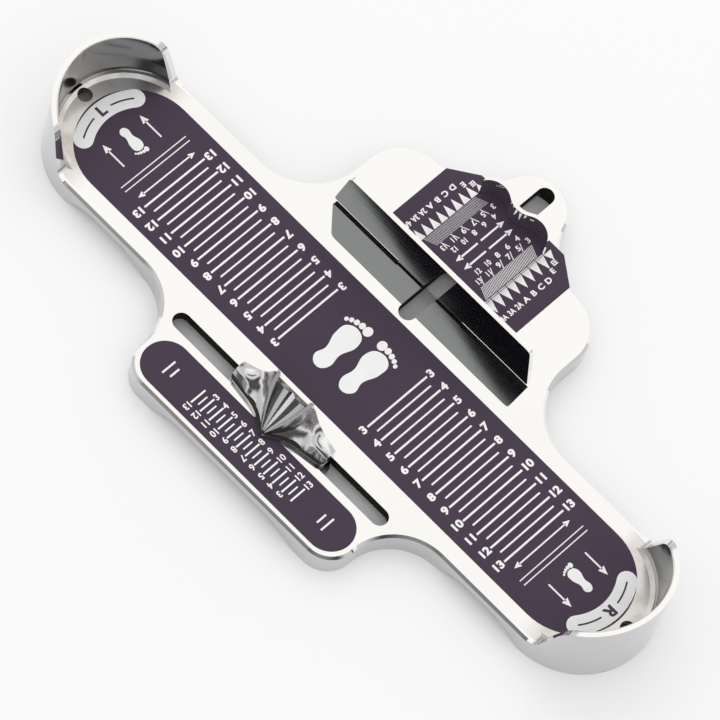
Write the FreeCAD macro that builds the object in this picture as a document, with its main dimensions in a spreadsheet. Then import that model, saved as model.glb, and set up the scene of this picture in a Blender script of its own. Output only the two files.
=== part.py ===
import FreeCAD, Part
import math
import os

import Sketcher
from FreeCAD import Vector

# Foot measuring device.
#
# Frame: X runs heel to heel along the foot bed, Y points to the width wing, Z is up from the resting
# plane. Each sub-part is drawn with the foot's centre line on y = 0, and its Placement then moves it by
# foot_axis_shift, so that the origin is the bottom centre of the whole device.

doc = FreeCAD.newDocument("FootMeasuringDevice")

# ---------------------------------------------------------------- driving dimensions (millimetres)

DIMENSIONS = {
    # base casting
    "base_height": 13.0,        # skirt foot to top face
    "plate_thickness": 3.5,     # the casting's top wall
    "skirt_thickness": 3.2,     # the casting's side wall
    "edge_bevel": 1.2,          # bevel of the top face's outer edge
    "bed_half_width": 37.7,     # also the radius of the round heel ends
    "heel_centre": 141.8,       # centre of a round heel end, from the middle of the device
    "wing_half_width": 65.9,    # both wings, along X
    "arch_edge": 79.5,          # straight outer edge of the arch wing, from the foot's centre line
    "arch_corner": 14.0,        # its convex corners
    "arch_fillet": 27.0,        # its concave run into the bed
    "width_fillet": 30.0,       # the width wing's concave run into the bed
    "shoulder_height": 76.8,    # where the width wing's straight side ends
    "shoulder_radius": 21.5,
    "neck_radius": 31.0,        # concave, between the shoulder and the apex
    "apex_radius": 17.5,
    "apex_reach": 131.2,        # the outermost point of the width wing
    # heel cups
    "cup_height": 32.0,         # rim above the top face, at the back of the heel
    "cup_floor_radius": 33.4,   # inside, at the floor: the back of the heel is heel_centre + this
    "cup_rim_radius": 35.2,     # inside, at the rim
    "cup_foot_bevel": 3.0,      # wall to floor
    "cup_front": 149.0,         # where the wall's front edge leaves the floor
    "cup_front_lean": 9.0,      # how far that edge leans back over its height
    "cup_front_height": 25.0,
    "cup_front_foot": 5.0,      # hollow round between the bed and that edge
    "cup_crest_round": 11.0,
    "hanging_hole_radius": 3.5,
    "hanging_hole_place": 170.2,
    # slots and the rails under them
    "slot_half_width": 4.3,
    "rail_width": 4.0,
    "rail_depth": 2.6,
    "rail_into_skirt": 2.0,     # the width slot's rail ends this far inside the outline's apex
    "arch_slot_line": 45.0,
    "arch_slot_reach": 66.0,
    "width_slot_start": 30.4,
    "width_slot_end": 127.2,
    # scale plates
    "scale_thickness": 0.8,
    "foot_scale_radius": 28.7,
    "foot_scale_centre": 136.3,
    "arch_scale_radius": 11.7,
    "arch_scale_line": 64.8,
    "arch_scale_centre": 51.0,
    "width_scale_half_width": 39.0,
    "width_scale_start": 54.5,
    "width_scale_end": 108.4,
    "width_scale_corner_x": 26.0,
    "width_scale_corner_y": 98.7,
    "scale_slot_margin": 3.0,   # gap between the width slot and the plate around it
    "plate_fit": 0.05,          # a plate's edge to its seat
    # relief of the skirt's lower edge
    "rail_relief_centre": 117.0,
    "rail_relief_half": 27.0,
    "rail_relief_rise": 8.2,
    "arch_relief_half": 46.0,
    "arch_relief_rise": 7.6,
    "relief_run": 1.6,          # run of a relief's ends, as a share of its rise
    "relief_round": 24.0,
    # width bar
    "running_gap": 0.3,         # between a slider and what it runs on
    "bar_line": 48.3,           # the bar's foot-facing wall
    "bar_thickness": 2.3,
    "bar_half_bottom": 60.5,
    "bar_half_top": 56.0,
    "bar_height": 27.8,         # above the top face
    "bar_gap": 2.6,             # under the bar, beyond the slide plate
    "bar_slide_gap": 1.6,       # under the bar, in front of the slide plate
    "bar_slide_lap": 0.8,       # how far the bar stands in front of the slide plate
    "slide_half_width": 20.0,
    "slide_thickness": 2.4,
    "lip_waist": 102.4,
    "lip_lobe": 106.2,
    "lip_lobe_place": 11.6,
    "lip_height": 15.5,         # top of the lip above the top face
    "lip_thickness": 1.9,
    "lip_lobe_radius": 9.5,
    "bar_low_round": 1.0,
    "bar_high_round": 3.0,
    "chart_margin": 1.2,        # between the bar and the printed sheet
    "chart_thickness": 0.6,
    # sliders' hidden parts
    "key_gap": 0.25,            # each side of a guide block in its slot
    "width_key_start": 54.0,
    "width_key_end": 101.0,
    "arch_key_half": 28.0,
    "clamp_half_width": 7.0,
    "clamp_thickness": 1.3,
    "clamp_drop": 2.0,          # clamp plate below the rails
    "spring_thickness": 0.4,
    "spring_inset": 1.0,        # the leaf's edge inside the clamp plate's, at its sides
    "spring_foot": 4.0,         # flat end of the leaf
    "spring_crown": 5.0,        # half the flat that bears on the rails
    "width_clamp_half": 22.0,
    "arch_clamp_half": 30.0,
    "boss_radius": 4.0,         # round feet of a guide block, down to the clamp plate
    "screw_radius": 1.7,
    "screw_fit": 0.05,
    "screw_head_radius": 3.4,
    "screw_head_height": 1.4,
    "screw_length": 6.5,        # under the head
    "tapped_depth": 6.0,
    "washer_radius": 3.8,
    "washer_thickness": 0.6,
    "width_screw_half": 14.0,   # half the distance between a slider's two screws
    "arch_screw_half": 18.0,
    # arch pointer, heights above the top face
    "pointer_line": 40.0,       # its foot-facing wall
    "pointer_tip": 57.4,
    "pointer_half_length": 28.5,
    "pointer_hollow": 1.3,      # depth of the inside curve that takes the ball of the foot
    "pointer_hollow_half": 12.5,
    "pointer_height": 26.0,     # the two high ribs, at the wall
    "rib_half": 11.2,           # outside of a high rib, at the wall
    "rib_land": 1.8,            # flat on top of it
    "pleat_half": 8.0,          # outer edge of a pleat's floor
    "pleat_start": 2.1,         # its inner edge, at the low middle rib
    "pleat_height": 21.2,
    "pleat_sag": 0.9,           # how far the floor is hollowed
    "middle_rib_height": 24.2,
    "rim_height": 23.4,         # wall that closes the pleats towards the foot
    "rim_thickness": 1.6,
    "rim_half": 9.0,            # its top ends inside the high ribs
    "rib_foot": 2.0,            # how far a high rib's outer side leans out, down to the wing
    "fan_tip_scale": 0.05,      # the fan's size at its end, as a share of its size at the wall
    "fan_tip_inset": 0.6,       # the fan ends this far inside the tip
    "rib_bulge": 1.45,          # above 1 the ribs bulge outwards on their way to the tip
    "wing_height": 2.2,
    "wing_end": 48.6,           # the wing's edge at the pointer's ends
    "wing_corner": 2.6,
    "flank_sink": 0.4,          # the flank's foot runs this far into the wing
    "wing_x": 10.2,             # where the wing's edge turns towards the tip
    "wing_y": 51.2,
    "wing_round": 25.0,
    "wing_tip_half": 0.8,
}

# The pointer's flank, cut across at some distances from its middle: a hollow scoop beside the high rib
# that turns into a domed end for the fingers. Heights are above the pointer's underside.
FLANK_PLACES = ("x", "wall", "bend", "bend_height", "bend_round", "reach")
FLANK_SECTIONS = (
    (0.0, 14.0, 48.0, 6.0, -20.0, 56.4),
    (5.0, 19.0, 46.0, 8.6, -20.0, 53.2),
    (10.0, 24.0, 44.4, 8.0, -20.0, 50.4),
    (15.0, 16.4, 43.8, 6.0, -14.0, 49.6),
    (20.0, 10.6, 45.6, 8.4, 7.0, 48.8),
    (25.5, 7.2, 45.0, 8.8, 3.8, 47.9),
    (28.5, 5.4, 44.4, 6.2, 2.8, 46.8),
)
for count, section in enumerate(FLANK_SECTIONS):
    for place, number in zip(FLANK_PLACES, section):
        DIMENSIONS[f"flank_{count}_{place}"] = number

sheet = doc.addObject("Spreadsheet::Sheet", "Dimensions")
for row, (alias, number) in enumerate(DIMENSIONS.items(), start=1):
    sheet.set(f"A{row}", alias)
    sheet.set(f"B{row}", str(number))
    sheet.setAlias(f"B{row}", alias)
doc.recompute()


class Size:
    """A length with its number and the spreadsheet formula that it comes from."""

    def __init__(self, number, formula=None):
        self.number = float(number)
        self.formula = formula or repr(float(number))

    def _with(self, other, sign, number):
        return Size(number, f"({self.formula} {sign} {other.formula})")

    def __add__(self, other):
        other = as_size(other)
        return self._with(other, "+", self.number + other.number)

    def __sub__(self, other):
        other = as_size(other)
        return self._with(other, "-", self.number - other.number)

    def __mul__(self, other):
        other = as_size(other)
        return self._with(other, "*", self.number * other.number)

    def __neg__(self):
        return as_size(0) - self

    def __radd__(self, other):
        return as_size(other) + self

    def __rsub__(self, other):
        return as_size(other) - self

    __rmul__ = __mul__


def as_size(length):
    return length if isinstance(length, Size) else Size(length)


def cell(alias):
    return Size(DIMENSIONS[alias], f"Dimensions.{alias}")


# ---------------------------------------------------------------- sketches and features

START, END, CENTRE = 1, 2, 3
ORIGIN = (-1, 1)

foot_axis_shift = (cell("arch_edge") - cell("apex_reach")) * 0.5
top = cell("base_height")
rail_bottom = top - cell("plate_thickness") - cell("rail_depth")
clamp_top = rail_bottom - cell("clamp_drop")


def new_body(name):
    """A body whose foot centre line lies on y = foot_axis_shift."""
    body = doc.addObject("PartDesign::Body", name)
    body.Placement = FreeCAD.Placement(Vector(0, foot_axis_shift.number, 0), FreeCAD.Rotation())
    body.setExpression("Placement.Base.y", foot_axis_shift.formula)
    return body


def new_sketch(body, name, plane, lift=0, shift=0):
    """A sketch on one of the body's own planes, moved by lift along its normal and by shift along its X."""
    sketch = body.newObject("Sketcher::SketchObject", name)
    support = [plane_ for plane_ in body.Origin.OriginFeatures if plane_.Role == plane][0]
    sketch.AttachmentSupport = (support, "")
    sketch.MapMode = "FlatFace"
    lift, shift = as_size(lift), as_size(shift)
    sketch.AttachmentOffset = FreeCAD.Placement(Vector(shift.number, 0, lift.number), FreeCAD.Rotation())
    sketch.setExpression("AttachmentOffset.Base.x", shift.formula)
    sketch.setExpression("AttachmentOffset.Base.z", lift.formula)
    return sketch


def hold(sketch, kind, *places, by):
    """A dimension of the sketch, held by a formula of the spreadsheet."""
    by = as_size(by)
    index = sketch.addConstraint(Sketcher.Constraint(kind, *places, by.number))
    sketch.setExpression(f"Constraints[{index}]", by.formula)


def pin(sketch, geometry, place, x=None, y=None):
    """Holds a point of the sketch at x, y from the body's origin."""
    if x is not None:
        hold(sketch, "DistanceX", *ORIGIN, geometry, place, by=x)
    if y is not None:
        hold(sketch, "DistanceY", *ORIGIN, geometry, place, by=y)


def polygon(sketch, corners):
    """A closed polygon of (x, y) corners, or (x, y, radius) where a corner is rounded.

    The corners are held by the spreadsheet. A rounded one is held as the point where its two sides
    would meet. They run counter-clockwise, and every rounded corner turns that way too unless its
    radius is given as negative, which rounds a hollow corner.
    """
    corners = [tuple(as_size(part) for part in corner) for corner in corners]
    count = len(corners)
    at = [Vector(corner[0].number, corner[1].number, 0) for corner in corners]
    trims, arcs = [], []
    for i, corner in enumerate(corners):
        before = (at[i - 1] - at[i]).normalize()
        after = (at[(i + 1) % count] - at[i]).normalize()
        if len(corner) < 3:
            trims.append((at[i], at[i]))
            arcs.append(None)
            continue
        radius = abs(corner[2].number)
        opening = before.getAngle(after)
        trim = radius / math.tan(opening / 2)
        bisector = (before + after).normalize()
        middle = at[i] + bisector * (radius / math.sin(opening / 2) - radius)
        ends = (at[i] + before * trim, at[i] + after * trim)
        trims.append(ends)
        arcs.append(Part.Arc(ends[0], middle, ends[1]))
    sides = []
    for i in range(count):
        sides.append(sketch.addGeometry(Part.LineSegment(trims[i][1], trims[(i + 1) % count][0])))
    for i, corner in enumerate(corners):
        before, after = sides[i - 1], sides[i]
        if arcs[i] is None:
            sketch.addConstraint(Sketcher.Constraint("Coincident", before, END, after, START))
            pin(sketch, after, START, corner[0], corner[1])
            continue
        arc = sketch.addGeometry(arcs[i])
        hollow = corner[2].number < 0
        first, last = (END, START) if hollow else (START, END)
        sketch.addConstraint(Sketcher.Constraint("Tangent", before, END, arc, first))
        sketch.addConstraint(Sketcher.Constraint("Tangent", arc, last, after, START))
        hold(sketch, "Radius", arc, by=-corner[2] if hollow else corner[2])
        meeting = sketch.addGeometry(Part.Point(at[i]), True)
        pin(sketch, meeting, START, corner[0], corner[1])
        for side in (before, after):
            sketch.addConstraint(Sketcher.Constraint("PointOnObject", meeting, START, side))


def circle(sketch, x, y, radius):
    x, y, radius = as_size(x), as_size(y), as_size(radius)
    index = sketch.addGeometry(Part.Circle(Vector(x.number, y.number, 0), Vector(0, 0, 1), radius.number))
    hold(sketch, "Radius", index, by=radius)
    pin(sketch, index, CENTRE, x, y)


def arc_of(x, y, radius, start, end):
    """An arc about x, y from one angle in degrees to another, counter-clockwise."""
    centre = Part.Circle(Vector(x, y, 0), Vector(0, 0, 1), radius)
    return Part.ArcOfCircle(centre, math.radians(start), math.radians(end))


def obround(sketch, first_centre, last_centre, radius):
    """A slot shape between two centres that share their x or their y."""
    (x1, y1), (x2, y2) = [(as_size(x), as_size(y)) for x, y in (first_centre, last_centre)]
    radius = as_size(radius)
    along = math.degrees(math.atan2(y2.number - y1.number, x2.number - x1.number))
    side = Vector(-math.sin(math.radians(along)), math.cos(math.radians(along)), 0) * radius.number
    start, end = Vector(x1.number, y1.number, 0), Vector(x2.number, y2.number, 0)
    far = sketch.addGeometry(arc_of(end.x, end.y, radius.number, along - 90, along + 90))
    left = sketch.addGeometry(Part.LineSegment(end + side, start + side))
    near = sketch.addGeometry(arc_of(start.x, start.y, radius.number, along + 90, along + 270))
    right = sketch.addGeometry(Part.LineSegment(start - side, end - side))
    for one, other in ((far, left), (left, near), (near, right), (right, far)):
        sketch.addConstraint(Sketcher.Constraint("Tangent", one, END, other, START))
    sketch.addConstraint(Sketcher.Constraint("Equal", far, near))
    hold(sketch, "Radius", far, by=radius)
    pin(sketch, far, CENTRE, x2, y2)
    pin(sketch, near, CENTRE, x1, y1)


def feature(body, kind, name, sketch, length=None, **settings):
    """A feature of the body made from a sketch, with its length bound to the spreadsheet."""
    new = body.newObject(f"PartDesign::{kind}", name)
    new.Profile = sketch
    if length is not None:
        length = as_size(length)
        new.Length = length.number
        new.setExpression("Length", length.formula)
    for setting, choice in settings.items():
        setattr(new, setting, choice)
    sketch.Visibility = False
    return new


def pad(body, name, sketch, length, **settings):
    return feature(body, "Pad", name, sketch, length, **settings)


def pocket(body, name, sketch, length=None, **settings):
    """A cut that has to take something away."""
    before = body.Tip
    doc.recompute()
    volume = before.Shape.Volume
    if length is None:
        settings["Type"] = "ThroughAll"
    new = feature(body, "Pocket", name, sketch, length, **settings)
    doc.recompute()
    if not new.Shape.Volume < volume - 1e-3:
        raise RuntimeError(f"{name} cuts nothing")
    return new


# ---------------------------------------------------------------- base casting


def half_outline(sketch, inset=0):
    """The x >= 0 half of the device's outline, moved inwards by inset."""
    inset = as_size(inset)
    bed = cell("bed_half_width") - inset
    wing = cell("wing_half_width") - inset
    edge = cell("arch_edge") - inset
    corner = cell("arch_corner") - inset
    arch_fillet = cell("arch_fillet") + inset
    width_fillet = cell("width_fillet") + inset
    shoulder = cell("shoulder_radius") - inset
    neck = cell("neck_radius") + inset
    apex = cell("apex_radius") - inset
    reach = cell("apex_reach") - inset
    heel, side_end = cell("heel_centre"), cell("shoulder_height")

    # the neck's centre, tangent from outside to the shoulder and to the apex
    shoulder_at = Vector((wing - shoulder).number, side_end.number, 0)
    apex_at = Vector(0, (reach - apex).number, 0)
    to_shoulder, to_apex = (shoulder + neck).number, (apex + neck).number
    between = shoulder_at - apex_at
    along = (to_apex**2 - to_shoulder**2 + between.Length**2) / (2 * between.Length)
    unit = between / between.Length
    off = math.sqrt(to_apex**2 - along**2)
    neck_at = apex_at + unit * along + Vector(-unit.y, unit.x, 0) * off
    lean_shoulder = math.degrees(math.atan2(neck_at.y - shoulder_at.y, neck_at.x - shoulder_at.x))
    lean_apex = math.degrees(math.atan2(neck_at.y - apex_at.y, neck_at.x - apex_at.x))

    w, b, e = wing.number, bed.number, edge.number
    af, wf, c = arch_fillet.number, width_fillet.number, corner.number
    apex_top = Vector(0, reach.number, 0)
    shapes = [
        Part.LineSegment(Vector(0, -e, 0), Vector(w - c, -e, 0)),
        arc_of(w - c, c - e, c, -90, 0),
        Part.LineSegment(Vector(w, c - e, 0), Vector(w, -b - af, 0)),
        arc_of(w + af, -b - af, af, 90, 180),
        Part.LineSegment(Vector(w + af, -b, 0), Vector(heel.number, -b, 0)),
        arc_of(heel.number, 0, b, -90, 90),
        Part.LineSegment(Vector(heel.number, b, 0), Vector(w + wf, b, 0)),
        arc_of(w + wf, b + wf, wf, 180, 270),
        Part.LineSegment(Vector(w, b + wf, 0), Vector(w, side_end.number, 0)),
        arc_of(shoulder_at.x, shoulder_at.y, shoulder.number, 0, lean_shoulder),
        arc_of(neck_at.x, neck_at.y, neck.number, 180 + lean_apex, 180 + lean_shoulder),
        arc_of(apex_at.x, apex_at.y, apex.number, lean_apex, 90),
        Part.LineSegment(apex_top, Vector(0, -e, 0)),
    ]
    (foot, corner_arc, arch_side, arch_run, low_bed, heel_arc, high_bed, width_run, width_side,
     shoulder_arc, neck_arc, apex_arc, middle) = [sketch.addGeometry(shape) for shape in shapes]
    # a hollow arc is drawn against the outline's own direction, so its ends change places
    joins = [
        (foot, END, corner_arc, START), (corner_arc, END, arch_side, START),
        (arch_side, END, arch_run, END), (arch_run, START, low_bed, START),
        (low_bed, END, heel_arc, START), (heel_arc, END, high_bed, START),
        (high_bed, END, width_run, END), (width_run, START, width_side, START),
        (width_side, END, shoulder_arc, START), (shoulder_arc, END, neck_arc, END),
        (neck_arc, START, apex_arc, START),
    ]
    for join in joins:
        sketch.addConstraint(Sketcher.Constraint("Tangent", *join))
    sketch.addConstraint(Sketcher.Constraint("Coincident", apex_arc, END, middle, START))
    sketch.addConstraint(Sketcher.Constraint("Coincident", middle, END, foot, START))
    for line in (foot, low_bed, high_bed):
        sketch.addConstraint(Sketcher.Constraint("Horizontal", line))
    for line in (arch_side, width_side):
        sketch.addConstraint(Sketcher.Constraint("Vertical", line))
    for arc, radius in ((corner_arc, corner), (arch_run, arch_fillet), (heel_arc, bed),
                        (width_run, width_fillet), (shoulder_arc, shoulder), (neck_arc, neck),
                        (apex_arc, apex)):
        hold(sketch, "Radius", arc, by=radius)
    pin(sketch, foot, START, 0, -edge)
    pin(sketch, arch_side, END, wing)
    pin(sketch, heel_arc, CENTRE, heel, 0)
    pin(sketch, width_side, END, wing, side_end)
    pin(sketch, apex_arc, CENTRE, 0, reach - apex)
    pin(sketch, apex_arc, END, 0)


def heel_cup(body):
    """The thin upstanding wall round the heel end, open towards the toes."""
    heel, radius, height = cell("heel_centre"), cell("bed_half_width"), cell("cup_height")
    front, over, overlap = cell("cup_front"), Size(4), Size(2)
    start = front - over
    reach = math.acos((start - heel).number / radius.number)
    rise = math.sin(reach) * radius.number
    plan = new_sketch(body, "cup_plan", "XY_Plane", top - overlap)
    sweep = math.degrees(reach)
    wall = plan.addGeometry(arc_of(heel.number, 0, radius.number, -sweep, sweep))
    chord = plan.addGeometry(
        Part.LineSegment(Vector(start.number, rise, 0), Vector(start.number, -rise, 0)))
    plan.addConstraint(Sketcher.Constraint("Coincident", wall, END, chord, START))
    plan.addConstraint(Sketcher.Constraint("Coincident", chord, END, wall, START))
    plan.addConstraint(Sketcher.Constraint("Vertical", chord))
    hold(plan, "Radius", wall, by=radius)
    pin(plan, wall, CENTRE, heel, 0)
    pin(plan, chord, START, start)
    pad(body, "cup_block", plan, height + overlap)

    # turned out inside: a flat floor, a foot with two bevels and a wall that leans outwards
    rim_z = top + height + over
    floor_radius, bevel, half_turn = cell("cup_floor_radius"), cell("cup_foot_bevel"), 1 - math.sqrt(0.5)
    inside = new_sketch(body, "cup_inside", "XZ_Plane", shift=heel)
    polygon(inside, [
        (0, top),
        (floor_radius - bevel, top),
        (floor_radius - bevel * half_turn, top + bevel * half_turn),
        (floor_radius, top + bevel),
        (cell("cup_rim_radius"), rim_z),
        (0, rim_z),
    ])
    hollow = feature(body, "Groove", "cup_hollow", inside)
    hollow.ReferenceAxis = (inside, ["V_Axis"])
    hollow.Angle = 360

    # cut to the side view: a steep front edge that turns over into the nearly level crest
    knee = front + cell("cup_front_lean")
    side_view = new_sketch(body, "cup_side_view", "XZ_Plane")
    polygon(side_view, [
        (start, top),
        (front, top, cell("cup_front_foot")),
        (knee, top + cell("cup_front_height"), -cell("cup_crest_round")),
        (heel + radius, top + height),
        (heel + radius + over, top + height),
        (heel + radius + over, rim_z + over),
        (start, rim_z + over),
    ])
    pocket(body, "cup_front", side_view, Midplane=True)


def slot_centres():
    """The centres of each slot's round ends."""
    slot = cell("slot_half_width")
    line = -cell("arch_slot_line")
    arch_slot = ((Size(0), line), (cell("arch_slot_reach") - slot, line))
    width_slot = ((Size(0), cell("width_slot_start") + slot), (Size(0), cell("width_slot_end") - slot))
    return arch_slot, width_slot


def half_obround(sketch, first_centre, last_centre, radius):
    """The x >= 0 half of an obround that is centred on x = 0 and runs along X or Y."""
    (x1, y1), (x2, y2), r = first_centre, last_centre, radius.number
    if x2.number > x1.number:
        below, above = y2 - radius, y2 + radius
        low = sketch.addGeometry(
            Part.LineSegment(Vector(0, below.number, 0), Vector(x2.number, below.number, 0)))
        arcs = [sketch.addGeometry(arc_of(x2.number, y2.number, r, -90, 90))]
        high = sketch.addGeometry(
            Part.LineSegment(Vector(x2.number, above.number, 0), Vector(0, above.number, 0)))
        sides = [low, arcs[0], high]
    else:
        below, above = y1 - radius, y2 + radius
        arcs = [sketch.addGeometry(arc_of(0, y1.number, r, -90, 0)),
                sketch.addGeometry(arc_of(0, y2.number, r, 0, 90))]
        side = sketch.addGeometry(
            Part.LineSegment(Vector(r, y1.number, 0), Vector(r, y2.number, 0)))
        sides = [arcs[0], side, arcs[1]]
        pin(sketch, arcs[0], CENTRE, 0, y1)
        sketch.addConstraint(Sketcher.Constraint("Vertical", side))
    middle = sketch.addGeometry(
        Part.LineSegment(Vector(0, above.number, 0), Vector(0, below.number, 0)))
    for one, other in zip(sides, sides[1:]):
        sketch.addConstraint(Sketcher.Constraint("Tangent", one, END, other, START))
    sketch.addConstraint(Sketcher.Constraint("Coincident", sides[-1], END, middle, START))
    sketch.addConstraint(Sketcher.Constraint("Coincident", middle, END, sides[0], START))
    sketch.addConstraint(Sketcher.Constraint("Vertical", middle))
    hold(sketch, "Radius", arcs[-1], by=radius)
    pin(sketch, arcs[-1], CENTRE, x2, y2)
    pin(sketch, middle, START, 0)
    if len(arcs) == 1:
        for line in (sides[0], sides[2]):
            sketch.addConstraint(Sketcher.Constraint("Horizontal", line))


def width_seat_outline(sketch):
    """The x >= 0 half of the seat of the two width scale plates: it runs on across the slot."""
    side, start, end = cell("width_scale_half_width"), cell("width_scale_start"), cell("width_scale_end")
    clip_x, clip_y = cell("width_scale_corner_x"), cell("width_scale_corner_y")
    polygon(sketch, [(0, start), (side, start), (side, clip_y), (clip_x, end), (0, end)])


def bow(sketch, centre, half, rise, floor=-1):
    """An arched cut that rises from the floor over a span of twice half."""
    run, round_ = rise * DIMENSIONS["relief_run"], cell("relief_round")
    polygon(sketch, [
        (centre - half, floor), (centre + half, floor),
        (centre + half - run, rise, round_), (centre - half + run, rise, round_),
    ])


def half_bow(sketch, half, rise, floor=-1):
    """The x >= 0 half of an arched cut centred on x = 0."""
    run = rise * DIMENSIONS["relief_run"]
    polygon(sketch, [(0, floor), (half, floor), (half - run, rise, cell("relief_round")), (0, rise)])


def make_base_casting():
    half = new_body("base_half")

    outline = new_sketch(half, "outline", "XY_Plane")
    half_outline(outline)
    plate = pad(half, "plate", outline, top)
    doc.recompute()
    edges = [
        f"Edge{i}" for i, edge in enumerate(half.Shape.Edges, start=1)
        if edge.BoundBox.ZMin > top.number - 0.01 and edge.BoundBox.XMax > 0.01
    ]
    rounded = half.newObject("PartDesign::Chamfer", "edge_bevel")
    rounded.Base = (plate, edges)
    rounded.setExpression("Size", cell("edge_bevel").formula)
    doc.recompute()
    heel_cup(half)

    # hollow underside, with a rail left along each slot for the sliders' springs to run on
    hollow = new_sketch(half, "hollow_plan", "XY_Plane")
    half_outline(hollow, cell("skirt_thickness"))
    pocket(half, "underside", hollow, top - cell("plate_thickness"), Reversed=True)
    slot, rail = cell("slot_half_width"), cell("rail_width")
    arch_slot, width_slot = slot_centres()
    rails = new_sketch(half, "rail_plan", "XY_Plane", top - cell("plate_thickness") - cell("rail_depth"))
    half_obround(rails, *arch_slot, slot + rail)
    pad(half, "arch_rail", rails, cell("rail_depth"))
    rails = new_sketch(half, "width_rail_plan", "XY_Plane",
                       top - cell("plate_thickness") - cell("rail_depth"))
    rail_end = cell("apex_reach") - cell("rail_into_skirt") - slot - rail
    half_obround(rails, width_slot[0], (Size(0), rail_end), slot + rail)
    pad(half, "width_rail", rails, cell("rail_depth"))

    # seats of the scale plates, sunk by a plate's thickness
    seats = new_sketch(half, "seat_plan", "XY_Plane", top - cell("scale_thickness"))
    half_obround(seats, (Size(0), Size(0)), (cell("foot_scale_centre"), Size(0)),
                 cell("foot_scale_radius"))
    half_obround(seats, (Size(0), -cell("arch_scale_line")),
                 (cell("arch_scale_centre"), -cell("arch_scale_line")), cell("arch_scale_radius"))
    width_seat_outline(seats)
    pocket(half, "scale_seats", seats, cell("scale_thickness") + 1, Reversed=True)

    # the two slots, and the hole in the heel that the device hangs by
    slots = new_sketch(half, "slot_plan", "XY_Plane")
    half_obround(slots, *arch_slot, slot)
    pocket(half, "arch_slot", slots, Midplane=True)
    slots = new_sketch(half, "width_slot_plan", "XY_Plane")
    half_obround(slots, *width_slot, slot)
    circle(slots, cell("hanging_hole_place"), 0, cell("hanging_hole_radius"))
    pocket(half, "width_slot", slots, Midplane=True)

    # the skirt's lower edge is relieved between the places that the device stands on
    relief = new_sketch(half, "rail_relief_view", "XZ_Plane")
    bow(relief, cell("rail_relief_centre"), cell("rail_relief_half"), cell("rail_relief_rise"))
    pocket(half, "rail_relief", relief, Midplane=True)
    through = cell("skirt_thickness") + 2
    relief = new_sketch(half, "arch_relief_view", "XZ_Plane", cell("arch_edge") - through)
    half_bow(relief, cell("arch_relief_half"), cell("arch_relief_rise"))
    pocket(half, "arch_relief", relief, through * 2, Reversed=True)
    doc.recompute()

    # the other half is its mirror image
    other = doc.addObject("Part::Mirroring", "base_other_half")
    other.Source = half
    other.Normal = (1, 0, 0)
    whole = doc.addObject("Part::Fuse", "base_casting")
    whole.Base, whole.Tool, whole.Refine = half, other, True
    return whole


# ---------------------------------------------------------------- scale plates


def make_foot_scale_plate():
    body = new_body("foot_scale")
    plan = new_sketch(body, "foot_scale_plan", "XY_Plane", top - cell("scale_thickness"))
    obround(plan, (-cell("foot_scale_centre"), 0), (cell("foot_scale_centre"), 0),
            cell("foot_scale_radius") - cell("plate_fit"))
    pad(body, "foot_scale_sheet", plan, cell("scale_thickness"))
    return body


def make_arch_scale_plate():
    body = new_body("arch_scale")
    plan = new_sketch(body, "arch_scale_plan", "XY_Plane", top - cell("scale_thickness"))
    line, centre = -cell("arch_scale_line"), cell("arch_scale_centre")
    obround(plan, (-centre, line), (centre, line), cell("arch_scale_radius") - cell("plate_fit"))
    pad(body, "arch_scale_sheet", plan, cell("scale_thickness"))
    return body


def make_width_scale_plate(name, hand):
    """One of the two sheets beside the width slot, with a clipped outer corner. hand is -1 or 1."""
    body = new_body(name)
    side = cell("width_scale_half_width") - cell("plate_fit")
    start, end = cell("width_scale_start") + cell("plate_fit"), cell("width_scale_end") - cell("plate_fit")
    clip_x, clip_y = cell("width_scale_corner_x"), cell("width_scale_corner_y")
    gap = cell("slot_half_width") + cell("scale_slot_margin")
    plan = new_sketch(body, f"{name}_plan", "XY_Plane", top - cell("scale_thickness"))
    corners = [(gap, start), (side, start), (side, clip_y), (clip_x, end), (gap, end)]
    if hand < 0:
        corners = [(-x, y) for x, y in reversed(corners)]
    polygon(plan, corners)
    pad(body, f"{name}_sheet", plan, cell("scale_thickness"))
    return body


# ---------------------------------------------------------------- width bar


def lip_curve(sketch, back):
    """The brace-shaped edge of the finger lip: two lobes with a hollow waist between them.

    It is moved towards the foot by back. Returns its arcs, from the right end to the left.
    """
    back = as_size(back)
    side, place, radius = cell("slide_half_width"), cell("lip_lobe_place"), cell("lip_lobe_radius")
    lobe_y, waist_y = cell("lip_lobe") - radius - back, cell("lip_waist") - back
    # the hollow arc that touches both lobes and the waist point
    rise = (waist_y - lobe_y).number
    hollow = (place.number**2 + rise**2 - radius.number**2) / (2 * (radius.number - rise))
    waist_at = Vector(0, waist_y.number + hollow, 0)
    lean = math.degrees(math.atan2(waist_at.y - lobe_y.number, -place.number))
    end = math.degrees(math.acos((side - place).number / radius.number))
    right = sketch.addGeometry(arc_of(place.number, lobe_y.number, radius.number, end, lean))
    waist = sketch.addGeometry(arc_of(0, waist_at.y, hollow, 360 - lean, 180 + lean))
    left = sketch.addGeometry(
        arc_of(-place.number, lobe_y.number, radius.number, 180 - lean, 180 - end))
    sketch.addConstraint(Sketcher.Constraint("Tangent", right, END, waist, END))
    sketch.addConstraint(Sketcher.Constraint("Tangent", waist, START, left, START))
    for arc, sign in ((right, 1), (left, -1)):
        hold(sketch, "Radius", arc, by=radius)
        pin(sketch, arc, CENTRE, place * sign, lobe_y)
    bottom = sketch.addGeometry(Part.Point(Vector(0, waist_y.number, 0)), True)
    pin(sketch, bottom, START, 0, waist_y)
    sketch.addConstraint(Sketcher.Constraint("PointOnObject", bottom, START, waist))
    pin(sketch, right, START, side)
    pin(sketch, left, END, -side)
    return right, waist, left


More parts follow.
